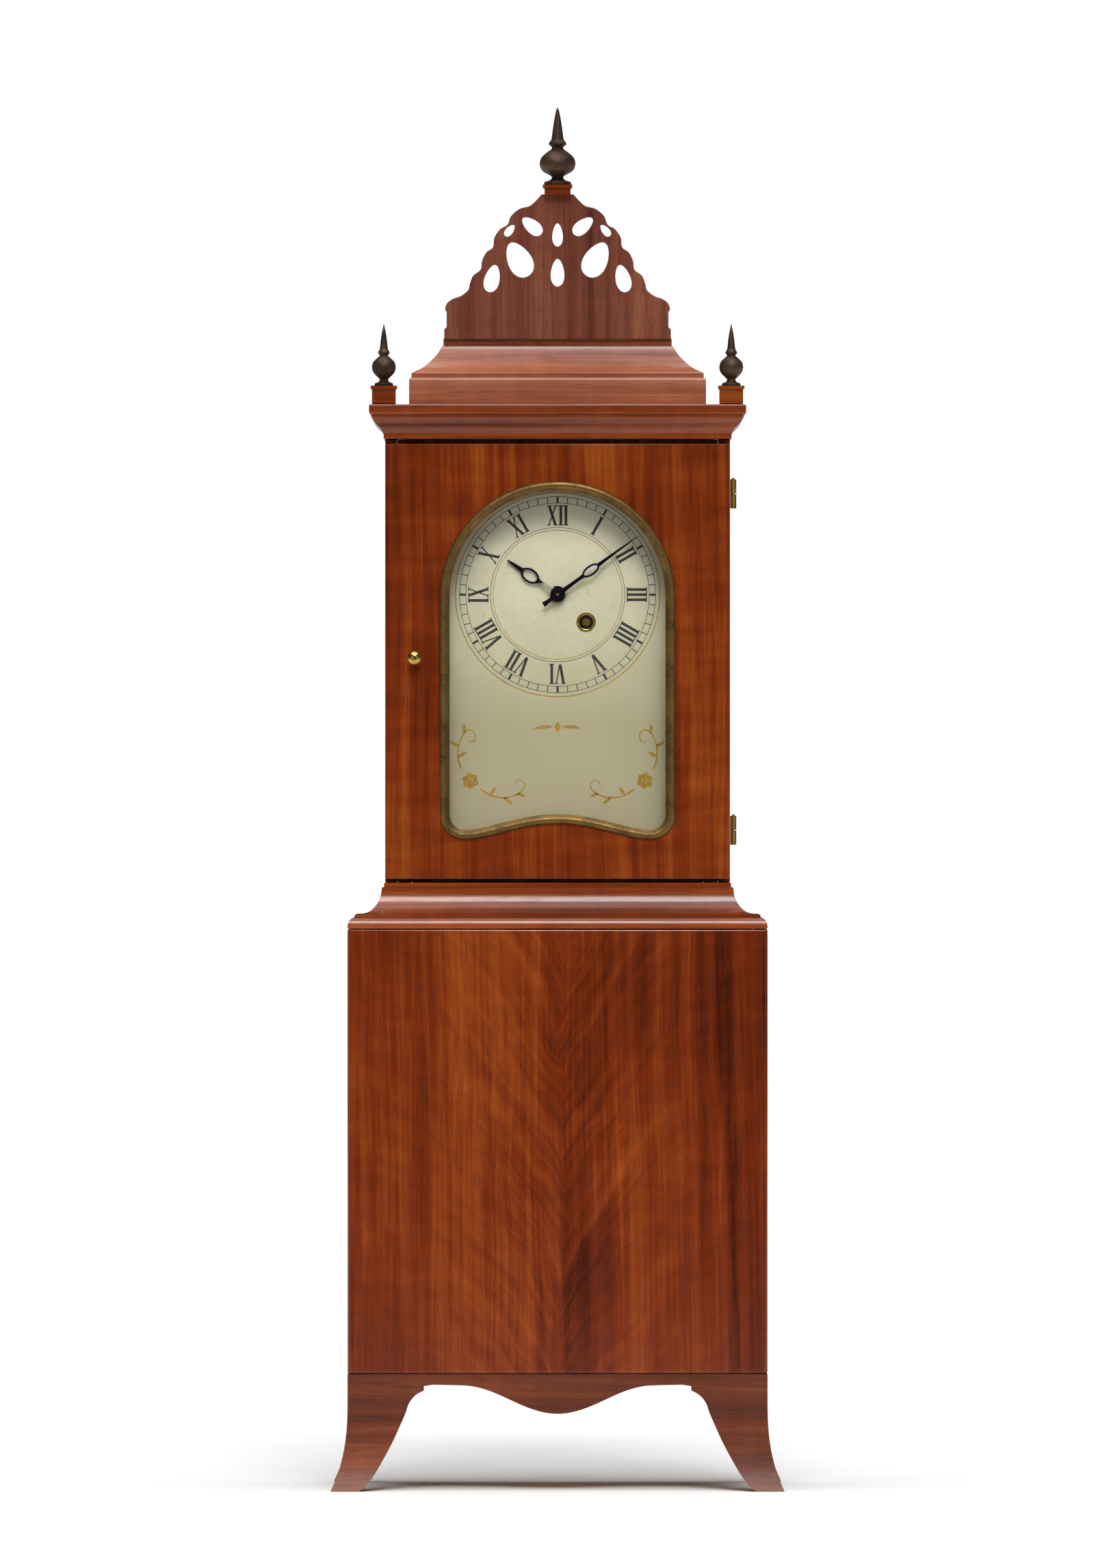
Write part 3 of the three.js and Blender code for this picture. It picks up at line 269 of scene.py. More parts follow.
# painted light: a paler, pinker copy of the mahogany for the roof stage, standing in for the light on its top-lit
# slopes
MAH_PAINTED_LIGHT_ROOF = (srgb(113, 55, 35), srgb(163, 94, 65), srgb(199, 130, 97))
VEN = (srgb(68, 20, 3), srgb(117, 43, 9), srgb(156, 73, 22))
VEN_D = (srgb(72, 22, 4), srgb(123, 47, 10), srgb(164, 80, 24))

# painted shade: a darker, less saturated copy of the mahogany for the apron, skirts and feet, standing in for the shade
# near the floor
MAH_PAINTED_SHADE_SKIRT = (srgb(60, 23, 8), srgb(101, 43, 16), srgb(134, 68, 33))

MAT = {}
MAT["mah_z"] = wood("mahogany_upright", MAH, "Z")
MAT["mah_x"] = wood("mahogany_across", MAH, "X", seed=3)
MAT["mah_y"] = wood("mahogany_deep", MAH, "Y", seed=5)
MAT["fret"] = wood("mahogany_fret", MAH_D, "Z", seed=7, gloss=0.32)
# the mouldings use the painted-light copy of the mahogany
MAT["mou_x"] = wood("mahogany_moulding", MAH_PAINTED_LIGHT_MOULD, "X", seed=18, gloss=0.22, coat=0.45)
MAT["mou_y"] = wood("mahogany_moulding_side", MAH_PAINTED_LIGHT_MOULD, "Y", seed=19, gloss=0.22, coat=0.45)
# the roof stage uses the painted-light copy of the mahogany
MAT["roof_x"] = wood("mahogany_roof", MAH_PAINTED_LIGHT_ROOF, "X", seed=16, gloss=0.3)
MAT["roof_y"] = wood("mahogany_roof_side", MAH_PAINTED_LIGHT_ROOF, "Y", seed=17, gloss=0.3)
# the apron, skirts and feet use the painted-shade copy of the mahogany
MAT["skirt_x"] = wood("mahogany_skirt", MAH_PAINTED_SHADE_SKIRT, "X", seed=8, gloss=0.46, coat=0.1)
MAT["skirt_y"] = wood("mahogany_skirt_side", MAH_PAINTED_SHADE_SKIRT, "Y", seed=21, gloss=0.46, coat=0.1)
MAT["panel"] = wood(
    "veneer_front", VEN, "Z", seed=2, figure=1.0, gloss=0.2, coat=0.5,
    blobs=(((95, 330), 80, -0.1), ((-62, 140), 55, 0.1), ((-37, 196), 22, -0.12), ((29, 138), 24, -0.1), ((4, 235), 62, 0.09), ((-100, 235), 60, -0.05)),
)
# painted light: the blob is a lighter round patch at the bottom middle of the door frame, next to the lit waist
# moulding
MAT["door"] = wood("veneer_door", VEN_D, "Z", seed=4, figure=0.0, gloss=0.2, coat=0.5, ripple=1.0, blobs=(((0, 434), 42, 0.13),))
MAT["band_x"] = wood("banding_across", MAH, "X", seed=9, gloss=0.2, coat=0.5)
MAT["band_z"] = wood("banding_upright", MAH, "Z", seed=10, gloss=0.2, coat=0.5)
MAT["side"] = wood("veneer_side", MAH, "Z", seed=12, gloss=0.24, ripple=0.8)
PINE = (srgb(120, 84, 48), srgb(152, 112, 70), srgb(180, 142, 96))
MAT["pine"] = wood("pine_upright", PINE, "Z", seed=14, gloss=0.7, coat=0.0, pores=0.2)
MAT["pine_x"] = wood("pine_across", PINE, "X", seed=15, gloss=0.7, coat=0.0, pores=0.2)
MAT["brass"] = metal("brass_polished", srgb(196, 156, 84), srgb(120, 86, 40), 0.24, 0.45)
# partly tarnish, partly painted shade: a dull, dark brass with heavy dark patches for the bezel, which sits in shade
# around the recessed dial
MAT["bezel"] = metal("brass_bezel", srgb(126, 98, 50), srgb(62, 48, 26), 0.42, 0.9, metallic=0.8)
MAT["patina"] = metal("brass_dark_patina", srgb(84, 62, 46), srgb(34, 26, 22), 0.48, 1.0, metallic=0.6)
MAT["steel"] = metal("steel_bright", srgb(170, 172, 176), srgb(96, 92, 88), 0.28, 0.5)
MAT["blue"] = metal("steel_blued", srgb(26, 28, 44), srgb(12, 12, 16), 0.3, 0.6)
MAT["iron"] = metal("iron_painted", srgb(52, 50, 50), srgb(30, 26, 24), 0.6, 0.9, metallic=0.35)


def gut_material():
    m = Nodes("gut_twisted")
    obj = m.add("ShaderNodeTexCoord").outputs["Object"]
    w = m.add("ShaderNodeTexWave", wave_type="BANDS", bands_direction="DIAGONAL")
    m.link(m.coords(scale=(900, 900, 900), src=obj), w.inputs["Vector"])
    w.inputs["Scale"].default_value = 1.0
    w.inputs["Distortion"].default_value = 1.0
    col = m.ramp(w.outputs["Fac"], [(0.0, srgb(120, 92, 44)), (1.0, srgb(196, 166, 108))])
    m.shader(col, 0.5, m.bump(w.outputs["Fac"], 0.4, 0.0001))
    return m.mat


MAT["gut"] = gut_material()


def dial_material():
    """Old oil paint on a sheet: warm white, faint craquelure and foxing; lighter at the top as painted light, and
    darker towards the bottom.
    """
    m = Nodes("dial_oil_paint")
    obj = m.add("ShaderNodeTexCoord").outputs["Object"]
    a, _ = m.noise(m.coords(scale=(26, 26, 26), src=obj), detail=4, rough=0.6)
    b, _ = m.noise(m.coords(scale=(160, 160, 160), src=obj), detail=3, rough=0.6)
    v = m.add("ShaderNodeTexVoronoi", feature="DISTANCE_TO_EDGE")
    m.link(m.coords(scale=(170, 170, 170), src=obj), v.inputs["Vector"])
    v.inputs["Scale"].default_value = 1.0
    crack = m.span(v.outputs["Distance"], 0.0, 0.03, 1.0, 0.0)
    base = m.ramp(a, [(0.3, srgb(198, 190, 162)), (0.7, srgb(216, 210, 184))])
    col = m.mix(m.span(b, 0.55, 0.75, 0.0, 0.35), base, srgb(186, 172, 132))
    col = m.mix(m.math("MULTIPLY", crack, 0.3), col, srgb(150, 138, 108))
    sep = m.add("ShaderNodeSeparateXYZ")
    m.link(obj, sep.inputs[0])
    # darker towards the bottom of the dial
    low = m.span(sep.outputs["Z"], 0.645, 0.525, 0.0, 1.0)
    col = m.mix(low, col, srgb(160, 150, 121))
    # painted light: the top of the dial is painted lighter to make up for the shade the door frame throws into the
    # recess there
    top = m.span(sep.outputs["Z"], 0.632, 0.67, 0.0, 0.85)
    col = m.mix(top, col, srgb(224, 217, 191))
    h = m.math("SUBTRACT", m.math("MULTIPLY", b, 0.3), crack)
    m.shader(col, 0.42, m.bump(h, 0.12, 0.0001), Specular_IOR_Level=0.45)
    return m.mat


MAT["dial"] = dial_material()


def ink(name, c, rough=0.5):
    m = Nodes(name)
    a, _ = m.noise(m.coords(scale=(300, 300, 300)), detail=4, rough=0.6)
    col = m.mix(m.span(a, 0.35, 0.7), c, tuple(x * 1.8 + 0.01 for x in c))
    m.shader(col, rough, m.bump(a, 0.1, 0.0001))
    return m.mat


MAT["ink"] = ink("dial_black_paint", srgb(26, 24, 22))
MAT["gilt"] = metal("dial_gilding", srgb(190, 150, 70), srgb(120, 92, 44), 0.42, 0.7, metallic=0.75, scale=120)


def glass_material():
    m = Nodes("pane_glass")
    a, _ = m.noise(m.coords(scale=(14, 14, 9)), detail=2)
    g = m.add("ShaderNodeBsdfPrincipled")
    g.inputs["Base Color"].default_value = (0.97, 0.985, 0.97, 1.0)
    g.inputs["Roughness"].default_value = 0.0
    g.inputs["IOR"].default_value = 1.45
    g.inputs["Transmission Weight"].default_value = 1.0
    m.link(m.bump(a, 0.05, 0.0006), g.inputs["Normal"])
    t = m.add("ShaderNodeBsdfTransparent")
    t.inputs["Color"].default_value = (0.95, 0.97, 0.95, 1.0)
    lp = m.add("ShaderNodeLightPath")
    mx = m.add("ShaderNodeMixShader")
    m.link(lp.outputs["Is Shadow Ray"], mx.inputs[0])
    m.link(g.outputs[0], mx.inputs[1])
    m.link(t.outputs[0], mx.inputs[2])
    m.link(mx.outputs[0], m.out.inputs["Surface"])
    return m.mat


MAT["glass"] = glass_material()


# ---------------------------------------------------------------- geometry
def obj_from(name, verts, faces, mats, face_mat=None, sharp=35):
    me = bpy.data.meshes.new(name)
    me.from_pydata([tuple(v) for v in verts], [], faces)
    me.validate()
    bm = bmesh.new()
    bm.from_mesh(me)
    bmesh.ops.remove_doubles(bm, verts=bm.verts, dist=1e-7)
    bmesh.ops.recalc_face_normals(bm, faces=bm.faces)
    bm.to_mesh(me)
    bm.free()
    for mt in mats if isinstance(mats, (list, tuple)) else [mats]:
        me.materials.append(mt)
    if face_mat is not None:
        for i, poly in enumerate(me.polygons):
            poly.material_index = face_mat(poly)
    me.shade_smooth()
    me.set_sharp_from_angle(angle=math.radians(sharp))
    ob = bpy.data.objects.new(name, me)
    scene.collection.objects.link(ob)
    return ob


def bevel(ob, w=0.4, seg=2, angle=35):
    b = ob.modifiers.new("edge", "BEVEL")
    b.width = w * 0.001
    b.segments = seg
    b.limit_method = "ANGLE"
    b.angle_limit = math.radians(angle)
    b.harden_normals = False
    return ob


def done(ob, body, nodes=()):
    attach(ob, body)
    if nodes:
        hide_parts(*nodes)
    return ob


def smooth_path(pts, per=6, closed=False):
    """Catmull-Rom through the points."""
    out, n = [], len(pts)
    rng_ = range(n if closed else n - 1)
    for i in rng_:
        p0 = pts[(i - 1) % n] if closed or i > 0 else pts[0]
        p1, p2 = pts[i], pts[(i + 1) % n]
        p3 = pts[(i + 2) % n] if closed or i + 2 < n else pts[-1]
        for k in range(per):
            t = k / per
            out.append(tuple(
                0.5 * (2 * b + (c - a) * t + (2 * a - 5 * b + 4 * c - d) * t * t + (3 * b - a - 3 * c + d) * t ** 3)
                for a, b, c, d in zip(p0, p1, p2, p3)
            ))
    if not closed:
        out.append(tuple(pts[-1]))
    return out


def lathe(name, profile, centre, mat, seg=48, along="Z", sharp=35, smooth=4):
    """Turned piece. profile: (radius, height) in mm; centre: the two coordinates of the axis."""
    prof = profile
    verts, faces = [], []
    n = len(prof)
    for i in range(seg):
        a = 2 * math.pi * i / seg
        for r, h in prof:
            if along == "Z":
                verts.append(P(centre[0] + r * math.cos(a), centre[1] + r * math.sin(a), h))
            else:
                verts.append(P(centre[0] + r * math.cos(a), h, centre[1] + r * math.sin(a)))
    for i in range(seg):
        j = (i + 1) % seg
        for k in range(n - 1):
            q = [i * n + k, j * n + k, j * n + k + 1, i * n + k + 1]
            if prof[k][0] == 0:
                q = [i * n, j * n + k + 1, i * n + k + 1]
            elif prof[k + 1][0] == 0:
                q = [i * n + k, j * n + k, i * n + k + 1]
            faces.append(q)
    return obj_from(name, verts, faces, mat, sharp=sharp)


def rounded(profile, per=5):
    """A turned profile with its inner points smoothed, ends kept on the axis."""
    mid = smooth_path(profile[1:-1], per)
    return [profile[0]] + [(max(r, 0.02), h) for r, h in mid] + [profile[-1]]


def plate(name, loops, y0, y1, mat, bev=0.5, seg=2, mats=None):
    """Flat piece in the XZ plane between y0 and y1 with rounded edges; first loop is the outline, the rest are holes."""
    cu = bpy.data.curves.new(name, "CURVE")
    cu.dimensions = "2D"
    cu.fill_mode = "BOTH"
    cu.extrude = (abs(y1 - y0) / 2 - bev) * 0.001
    cu.bevel_depth = bev * 0.001
    cu.bevel_resolution = seg
    cu.offset = -bev * 0.001
    for pts in loops:
        sp = cu.splines.new("POLY")
        sp.points.add(len(pts) - 1)
        for q, (x, z) in zip(sp.points, pts):
            q.co = (x * 0.001, z * 0.001, 0, 1)
        sp.use_cyclic_u = True
    tmp = bpy.data.objects.new(name + "_tmp", cu)
    scene.collection.objects.link(tmp)
    bpy.context.view_layer.update()
    me = bpy.data.meshes.new_from_object(tmp.evaluated_get(bpy.context.evaluated_depsgraph_get()))
    bpy.data.objects.remove(tmp)
    bpy.data.curves.remove(cu)
    mid = (y0 + y1) / 2 + YS
    me.transform(Matrix.Translation((0, mid * 0.001, 0)) @ Matrix.Rotation(math.pi / 2, 4, "X"))
    me.name = name
    bm = bmesh.new()
    bm.from_mesh(me)
    bmesh.ops.remove_doubles(bm, verts=bm.verts, dist=2e-6)
    bmesh.ops.recalc_face_normals(bm, faces=bm.faces)
    bm.to_mesh(me)
    bm.free()
    me.materials.clear()
    for mt in mats or [mat]:
        me.materials.append(mt)
    me.shade_smooth()
    me.set_sharp_from_angle(angle=math.radians(40))
    ob = bpy.data.objects.new(name, me)
    scene.collection.objects.link(ob)
    flat = {}
    for f in me.polygons:
        if abs(f.normal.y) > 0.9999:
            for v in f.vertices:
                flat[v] = (0.0, math.copysign(1.0, f.normal.y), 0.0)
    corner = [(0.0, 0.0, 0.0)] * len(me.loops)
    for f in me.polygons:
        for li in f.loop_indices:
            n = flat.get(me.loops[li].vertex_index)
            if n and f.normal.y * n[1] > 0.6:
                corner[li] = n
    me.normals_split_custom_set(corner)
    return ob


def u_mould(name, section, half_w, front, back, mats, sharp=32):
    """Moulding along left, front and right with mitred corners; mats: front, side."""
    st = [
        lambda d: (-half_w - d, back),
        lambda d: (-half_w - d, front - d),
        lambda d: (half_w + d, front - d),
        lambda d: (half_w + d, back),
    ]
    verts, faces, n = [], [], len(section)
    for s in st:
        for d, z in section:
            x, y = s(d)
            verts.append(P(x, y, z))
    for k in range(3):
        for i in range(n):
            j = (i + 1) % n
            faces.append([k * n + i, k * n + j, (k + 1) * n + j, (k + 1) * n + i])
    faces.append(list(range(n)))
    faces.append([3 * n + i for i in range(n)][::-1])
    fy = (front + YS) * 0.001

    def pick(poly):
        c = poly.center
        v = [verts_co[i] for i in poly.vertices]
        xs = [p.x for p in v]
        return 0 if max(xs) > 0 > min(xs) else 1

    ob = obj_from(name, verts, faces, list(mats), sharp=sharp)
    verts_co = [v.co for v in ob.data.vertices]
    for poly in ob.data.polygons:
        poly.material_index = pick(poly)
    return ob


def box_piece(name, x0, x1, y0, y1, z0, z1, mat, bev=0.6, seg=3):
    v = [P(x, y, z) for x in (x0, x1) for y in (y0, y1) for z in (z0, z1)]
    f = [[0, 1, 3, 2], [4, 6, 7, 5], [0, 4, 5, 1], [2, 3, 7, 6], [0, 2, 6, 4], [1, 5, 7, 3]]
    ob = obj_from(name, v, f, mat, sharp=30)
    return bevel(ob, bev, seg)


def opening(off, n=40):
    """Outline of the dial opening grown by off, counter-clockwise from the right spring."""
    a, top = OPEN_W + off, OPEN_TOP + off
    spring = top - a * 0.98
    out = []
    for i in range(2 * n + 1):
        t = math.pi * i / (2 * n)
        out.append((a * math.cos(t), spring + a * 0.98 * math.sin(t)))
    bot, rc = OPEN_BOT - off, 13 + off * 0.6
    left = []
    for i in range(11):
        t = math.pi / 2 * i / 10
        left.append((-a + rc * (1 - math.cos(t)), bot + rc * (1 - math.sin(t))))
    mid = []
    for i in range(1, 28):
        x = -(a - rc) + 2 * (a - rc) * i / 28
        mid.append((x, bot + OPEN_RISE * math.cos(math.pi / 2 * x / (a - rc)) ** 1.5))
    return out + left + mid + [(-x, z) for x, z in left[::-1]]


def sweep_xz(name, path, section, mat, sharp=35):
    """Closed ring moulding along a path in the XZ plane; section: (outward, y)."""
    n, k = len(path), len(section)
    verts, faces = [], []
    for i in range(n):
        a, b = Vector(path[i - 1]), Vector(path[(i + 1) % n])
        t = (b - a).normalized()
        nx, nz = t.y, -t.x  # outward for a counter-clockwise path
        for d, y in section:
            verts.append(P(path[i][0] + nx * d, y, path[i][1] + nz * d))
    for i in range(n):
        j = (i + 1) % n
        for s in range(k):
            u = (s + 1) % k
            faces.append([i * k + s, j * k + s, j * k + u, i * k + u])
    return obj_from(name, verts, faces, mat, sharp=sharp)


# ---------------------------------------------------------------- lower case
front = box_piece("front_panel_veneered", -LOW_W, LOW_W, LOW_F, LOW_F + 8, LOW_Z0, LOW_Z1, MAT["panel"], 1.6, 4)
done(front, "case", ["lower_front_panel"])


def flare(z):
    t = max(0.0, (62 - z) / 62)
    return 11.4 * t ** 2.6


FOOT_IN = [(136, 0), (131.5, 3), (126, 10), (120, 20), (113, 33), (107.5, 45), (104, 53), (101.5, 60), (97, 65.5), (91.5, 68.5)]
FOOT_TOP = [(91.5, 71.5), (85.5, 72.5)]


def apron_line(x):
    """Lower edge of the front apron."""
    if abs(x) <= 65.5:
        return 52.6 + 19.4 * (0.5 - 0.5 * math.cos(math.pi * x / 65.5))
    return 72.2


def lerp(a, b, t):
    return a + (b - a) * t


TOP = LOW_Z0 - 0.3


def solid_skirt_front():
    """Front skirt from an outline, curved forward at the feet."""
    zs = [0, 2, 4, 7, 10, 14, 18, 23, 28, 34, 40, 47, 54, 62, 70, TOP]
    outer_r = [(LOW_W + flare(z), z) for z in zs]
    fin = smooth_path(FOOT_IN, 4) + FOOT_TOP
    ap = [(x, apron_line(x)) for x in [lerp(65.5, -65.5, i / 60) for i in range(61)]]
    loop = outer_r + [(-x, z) for x, z in outer_r[::-1]] + [(-x, z) for x, z in fin] + [(-70, 72.2)] + ap[::-1] + [(70, 72.2)] + fin[::-1]
    return loop


def bent_plate(name, loop, place, mats, cuts, thick=10.0):
    """Plate whose outline is in (s, z), cut into thin strips by height so it can be curved by place(s, z, depth)."""
    bm = bmesh.new()
    clean = [q for i, q in enumerate(loop) if math.dist(q, loop[i - 1]) > 0.02]
    vs = [bm.verts.new((s, 0.0, z)) for s, z in clean]
    for tri in tessellate_polygon([[Vector((s, z, 0.0)) for s, z in clean]]):
        bm.faces.new([vs[k] for k in tri])
    for z in cuts:
        geom = bm.verts[:] + bm.edges[:] + bm.faces[:]
        bmesh.ops.bisect_plane(bm, geom=geom, dist=1e-5, plane_co=(0, 0, z), plane_no=(0, 0, 1))
    ext = bmesh.ops.extrude_face_region(bm, geom=bm.faces[:])
    moved = [v for v in ext["geom"] if isinstance(v, bmesh.types.BMVert)]
    back_set = set(moved)
    for v in bm.verts:
        s, z = v.co.x, v.co.z
        v.co = place(s, z, thick if v in back_set else 0.0)
    bmesh.ops.recalc_face_normals(bm, faces=bm.faces)
    me = bpy.data.meshes.new(name)
    bm.to_mesh(me)
    bm.free()
    for mt in mats:
        me.materials.append(mt)
    me.shade_smooth()
    me.set_sharp_from_angle(angle=math.radians(35))
    ob = bpy.data.objects.new(name, me)
    scene.collection.objects.link(ob)
    return bevel(ob, 0.45, 2, 50)


CUTS = [1.5, 3, 5, 7.5, 10, 13, 16, 20, 24, 28, 33, 38, 44, 50, 56, 62]
sk = bent_plate(
    "apron_front_with_feet", solid_skirt_front(),
    lambda s, z, d: P(s, LOW_F - flare(z) + d, z), [MAT["skirt_x"]], CUTS,
)
done(sk, "case", ["skirt_front"])
zs = [0, 2, 4, 7, 10, 14, 18, 23, 28, 34, 40, 47, 54, 62, 70, TOP]
side_front = [(LOW_F + 10 - flare(z) + 0.3, z) for z in zs]
fin_s = [(-(x - LOW_W + 80), z) for x, z in smooth_path(FOOT_IN, 4)]
side_loop = (
    side_front
    + [(BACK, TOP), (BACK, 0), (BACK - 11, 0)]
    + smooth_path([(BACK - 11.2, 0.6), (BACK - 14, 10), (BACK - 21, 22), (BACK - 29, 36), (BACK - 35, 52), (BACK - 38, 60), (BACK - 43, 65.5), (BACK - 49, 68.5)], 3)
    + [(BACK - 49, 71.5), (-27, 71.5)]
    + fin_s[::-1]
)
for side, sg in (("left", -1), ("right", 1)):
    ob = bent_plate(
        "skirt_with_feet_" + side, side_loop,
        lambda s, z, d, sg=sg: P(sg * (LOW_W + flare(z) - d), s, z), [MAT["skirt_y"]], CUTS,
    )
    done(ob, "case", ["skirt_" + side])

# waist moulding
cove = [(18.6 - 16.4 * math.cos(math.pi / 2 * i / 20), 394 + 18.6 * (1 - math.sin(math.pi / 2 * i / 20))) for i in range(21)]
ov = [(20.6 + 4.7 * math.sin(math.pi / 2 * i / 10), 392.2 - 6.2 * (1 - math.cos(math.pi / 2 * i / 10))) for i in range(11)]
sec = [(-17, 384.7), (-17, WAIST_Z1), (0.3, WAIST_Z1), (0.6, WAIST_Z1 - 0.3), (0.6, 413.0)] + cove + [(20.6, 394), (20.6, 392.4)] + ov + [(25.3, 385.0), (25.0, 384.7)]
done(u_mould("waist_moulding_polished", sec, HOOD_W, HOOD_F + 1.6, BACK, (MAT["mou_x"], MAT["mou_y"])), "case", ["waist_moulding"])

# ---------------------------------------------------------------- hood
corn = []
for i in range(25):
    t = i / 24
    corn.append((0.9 + (CORN_OUT - 2.6) * (t - 0.13 * math.sin(2 * math.pi * t)), 722.6 + 14.4 * t))
sec = [(-16.1, 728.9), (0.3, 728.9), (0.3, 720.7), (0.9, 720.7)] + corn + [
    (CORN_OUT - 0.9, 737.4), (CORN_OUT - 0.4, 737.8), (CORN_OUT, 738.4), (CORN_OUT, 743), (CORN_OUT - 0.3, 743.7), (CORN_OUT - 1, CORN_Z1), (-16.1, CORN_Z1)]
done(u_mould("cornice_polished", sec, HOOD_W, HOOD_F, BACK, (MAT["mou_x"], MAT["mou_y"])), "hood", ["cornice_moulding"])

rings = [(0, 728.9), (0, 761.4), (0.3, 762.2), (1.6, 763.2), (1.6, 766.0), (2.2, 766.6), (4.2, 767.6)]
rings += smooth_path([(4.2, 767.6), (8.6, 769.8), (12.8, 773), (16.2, 776.4), (18.6, 779), (20.8, 782.2), (22.2, 785)], 4)[1:]
rings += [(23.4, 785.6), (23.4, 790.4), (23.9, ROOF_Z1)]
verts, faces = [], []
for d, z in rings:
    w, f = ROOF_W - d, HOOD_F + 16.4 + d
    verts += [P(-w, f, z), P(w, f, z), P(w, BACK, z), P(-w, BACK, z)]
for k in range(len(rings) - 1):
    for i in range(4):
        j = (i + 1) % 4
        faces.append([k * 4 + i, k * 4 + j, (k + 1) * 4 + j, (k + 1) * 4 + i])
faces += [[3, 2, 1, 0], [len(verts) - 4 + i for i in range(4)]]
roof = obj_from("roof_stage_polished", verts, faces, [MAT["roof_x"], MAT["roof_y"]], sharp=32)
for poly in roof.data.polygons:
    poly.material_index = 1 if abs(poly.normal.x) > 0.6 else 0
done(roof, "hood", ["roof_moulding"])

# pierced crest
HALF = [
    (76.4, 809), (77.4, 811), (76, 815), (72, 818), (66.5, 820), (61.5, 824), (60.5, 828), (58, 834), (53, 838),
    (52, 844), (49, 850), (44.5, 853.5), (43.5, 860), (39.5, 866), (34.5, 869), (32, 875), (26, 880), (19, 882), (14.5, 886), (11, 889.9),
]


def petal(cx, cz, a, b, deg, n=36):
    t, out = math.radians(deg), []
    for i in range(n):
        u = 2 * math.pi * i / n
        k = 1 - 0.22 * math.cos(u)
        x, z = a * math.cos(u), b * k * math.sin(u)
        out.append((cx + x * math.cos(t) - z * math.sin(t), cz + x * math.sin(t) + z * math.cos(t)))
    return out


PIERCED = [
    (26.5, 845, 13, 8.2, 62), (45, 832, 9.6, 5.2, 104), (17.5, 868, 8.4, 4.6, 40), (33, 865, 4.8, 2.6, 130),
]
holes = []
for h in PIERCED:
    q = petal(*h)
    holes += [q, [(-x, z) for x, z in q]]
holes += [petal(0, 836, 9.5, 4.6, 90), petal(0, 862, 8, 3.6, 90)]
out_r = smooth_path(HALF, 5)
out_r = [(78, 790.1), (78, 797), (76.4, 798.4)] + [(min(x, 77.4), z) for x, z in out_r]
fret = plate("crest_pierced", [out_r + [(-x, z) for x, z in out_r[::-1]]] + holes, FRET_Y - 3, FRET_Y + 3, MAT["fret"], 0.7, 3)
done(fret, "hood", ["crest_fret"])
prof = [(0, 896.7), (9.1, 896.7), (9.1, 898.4), (5.4, 899.7), (4, 901.6), (5.8, 903.3), (10.4, 906), (12.3, 910.4), (11.3, 915), (7.6, 918.7), (4.6, 920.8),
        (4, 922.4), (5.9, 924), (5.9, 925.5), (4.4, 927.6), (3.8, 931), (3, 937), (2, 943), (0.9, 948.2), (0, 949.9)]
done(lathe("finial_centre_turned", rounded(prof), (0, FRET_Y), MAT["patina"], 56), "hood", ["finial_center"])
for side, sg in (("left", -1), ("right", 1)):
    x, y = sg * 119.1, HOOD_F - CORN_OUT + 10
    prof = [(0, 757.1), (6.3, 757.1), (6.3, 758.4), (3.6, 759.7), (3, 761.4), (4.6, 763), (7.3, 766), (8.2, 769.6), (7.3, 773.2), (4.6, 776), (2.9, 777.6),
            (3.9, 779), (3.9, 780.2), (2.8, 782.4), (2.2, 788), (1.3, 794), (0, 799.9)]
    done(lathe("finial_turned_" + side, rounded(prof), (x, y), MAT["patina"], 40), "hood", ["finial_" + side])

# ---------------------------------------------------------------- door
door_w = HOOD_W - 0.2
DZ0, DZ1 = 418.6, 717.2
door = plate(
    "door_frame_veneered", [[(-door_w, DZ0), (door_w, DZ0), (door_w, DZ1), (-door_w, DZ1)], opening(0)],
    HOOD_F, HOOD_F + 14, MAT["door"], 0.8, 3,
)
done(door, "door", ["hood_door_frame"])
bez = []
for i in range(17):
    a = math.pi * i / 16
    bez.append((1.6 + 2.6 * math.cos(a), HOOD_F - 0.2 - 2.1 * math.sin(a)))
bez += [(-1.0, HOOD_F + 0.4), (-2.4, HOOD_F + 1.8), (-2.4, -49.4), (-0.5, -49.4), (-0.5, HOOD_F + 1.0), (-0.5, HOOD_F - 0.2)]
bead = sweep_xz("door_bezel_brass", opening(0), bez, MAT["bezel"])
done(bead, "door", ["hood_door_bead"])
pane = plate("door_pane", [opening(3.7)], -48.7, -46.9, MAT["glass"], 0.05, 0)
done(pane, "door", ["hood_door_glass"])
knob = lathe(
    "door_catch_knob",
    rounded([(0, -68.5), (2.6, -68.2), (4.4, -66.6), (4.85, -64.4), (4.1, -62.2), (2.3, -60.6), (1.9, -59), (2.6, -57.6), (4.1, -56.9), (4.1, -55.9), (1.7, -55.8), (1.7, -36.7), (0, -36.7)], 4),
    (-98, 570), MAT["brass"], 32, along="Y",
)
done(knob, "door_catch", ())
finger = plate("door_catch_finger", [[(-100.4, 567.8), (-95.6, 567.8), (-95.4, 578), (-96.6, 583.8), (-99.4, 583.8), (-100.6, 578)]], -38.2, -36.6, MAT["brass"], 0.25, 2)
done(finger, "door_catch", ["hood_door_catch"])

# ---------------------------------------------------------------- dial
A = 95.0
dial_loop = [(A * math.cos(math.pi * i / 60), 611 + 92 * math.sin(math.pi * i / 60)) for i in range(61)] + [(-A, 436), (A, 436)]


def circle(cx, cz, r, n=48, turn=0.0):
    return [(cx + r * math.cos(turn + 2 * math.pi * i / n), cz + r * math.sin(turn + 2 * math.pi * i / n)) for i in range(n)]


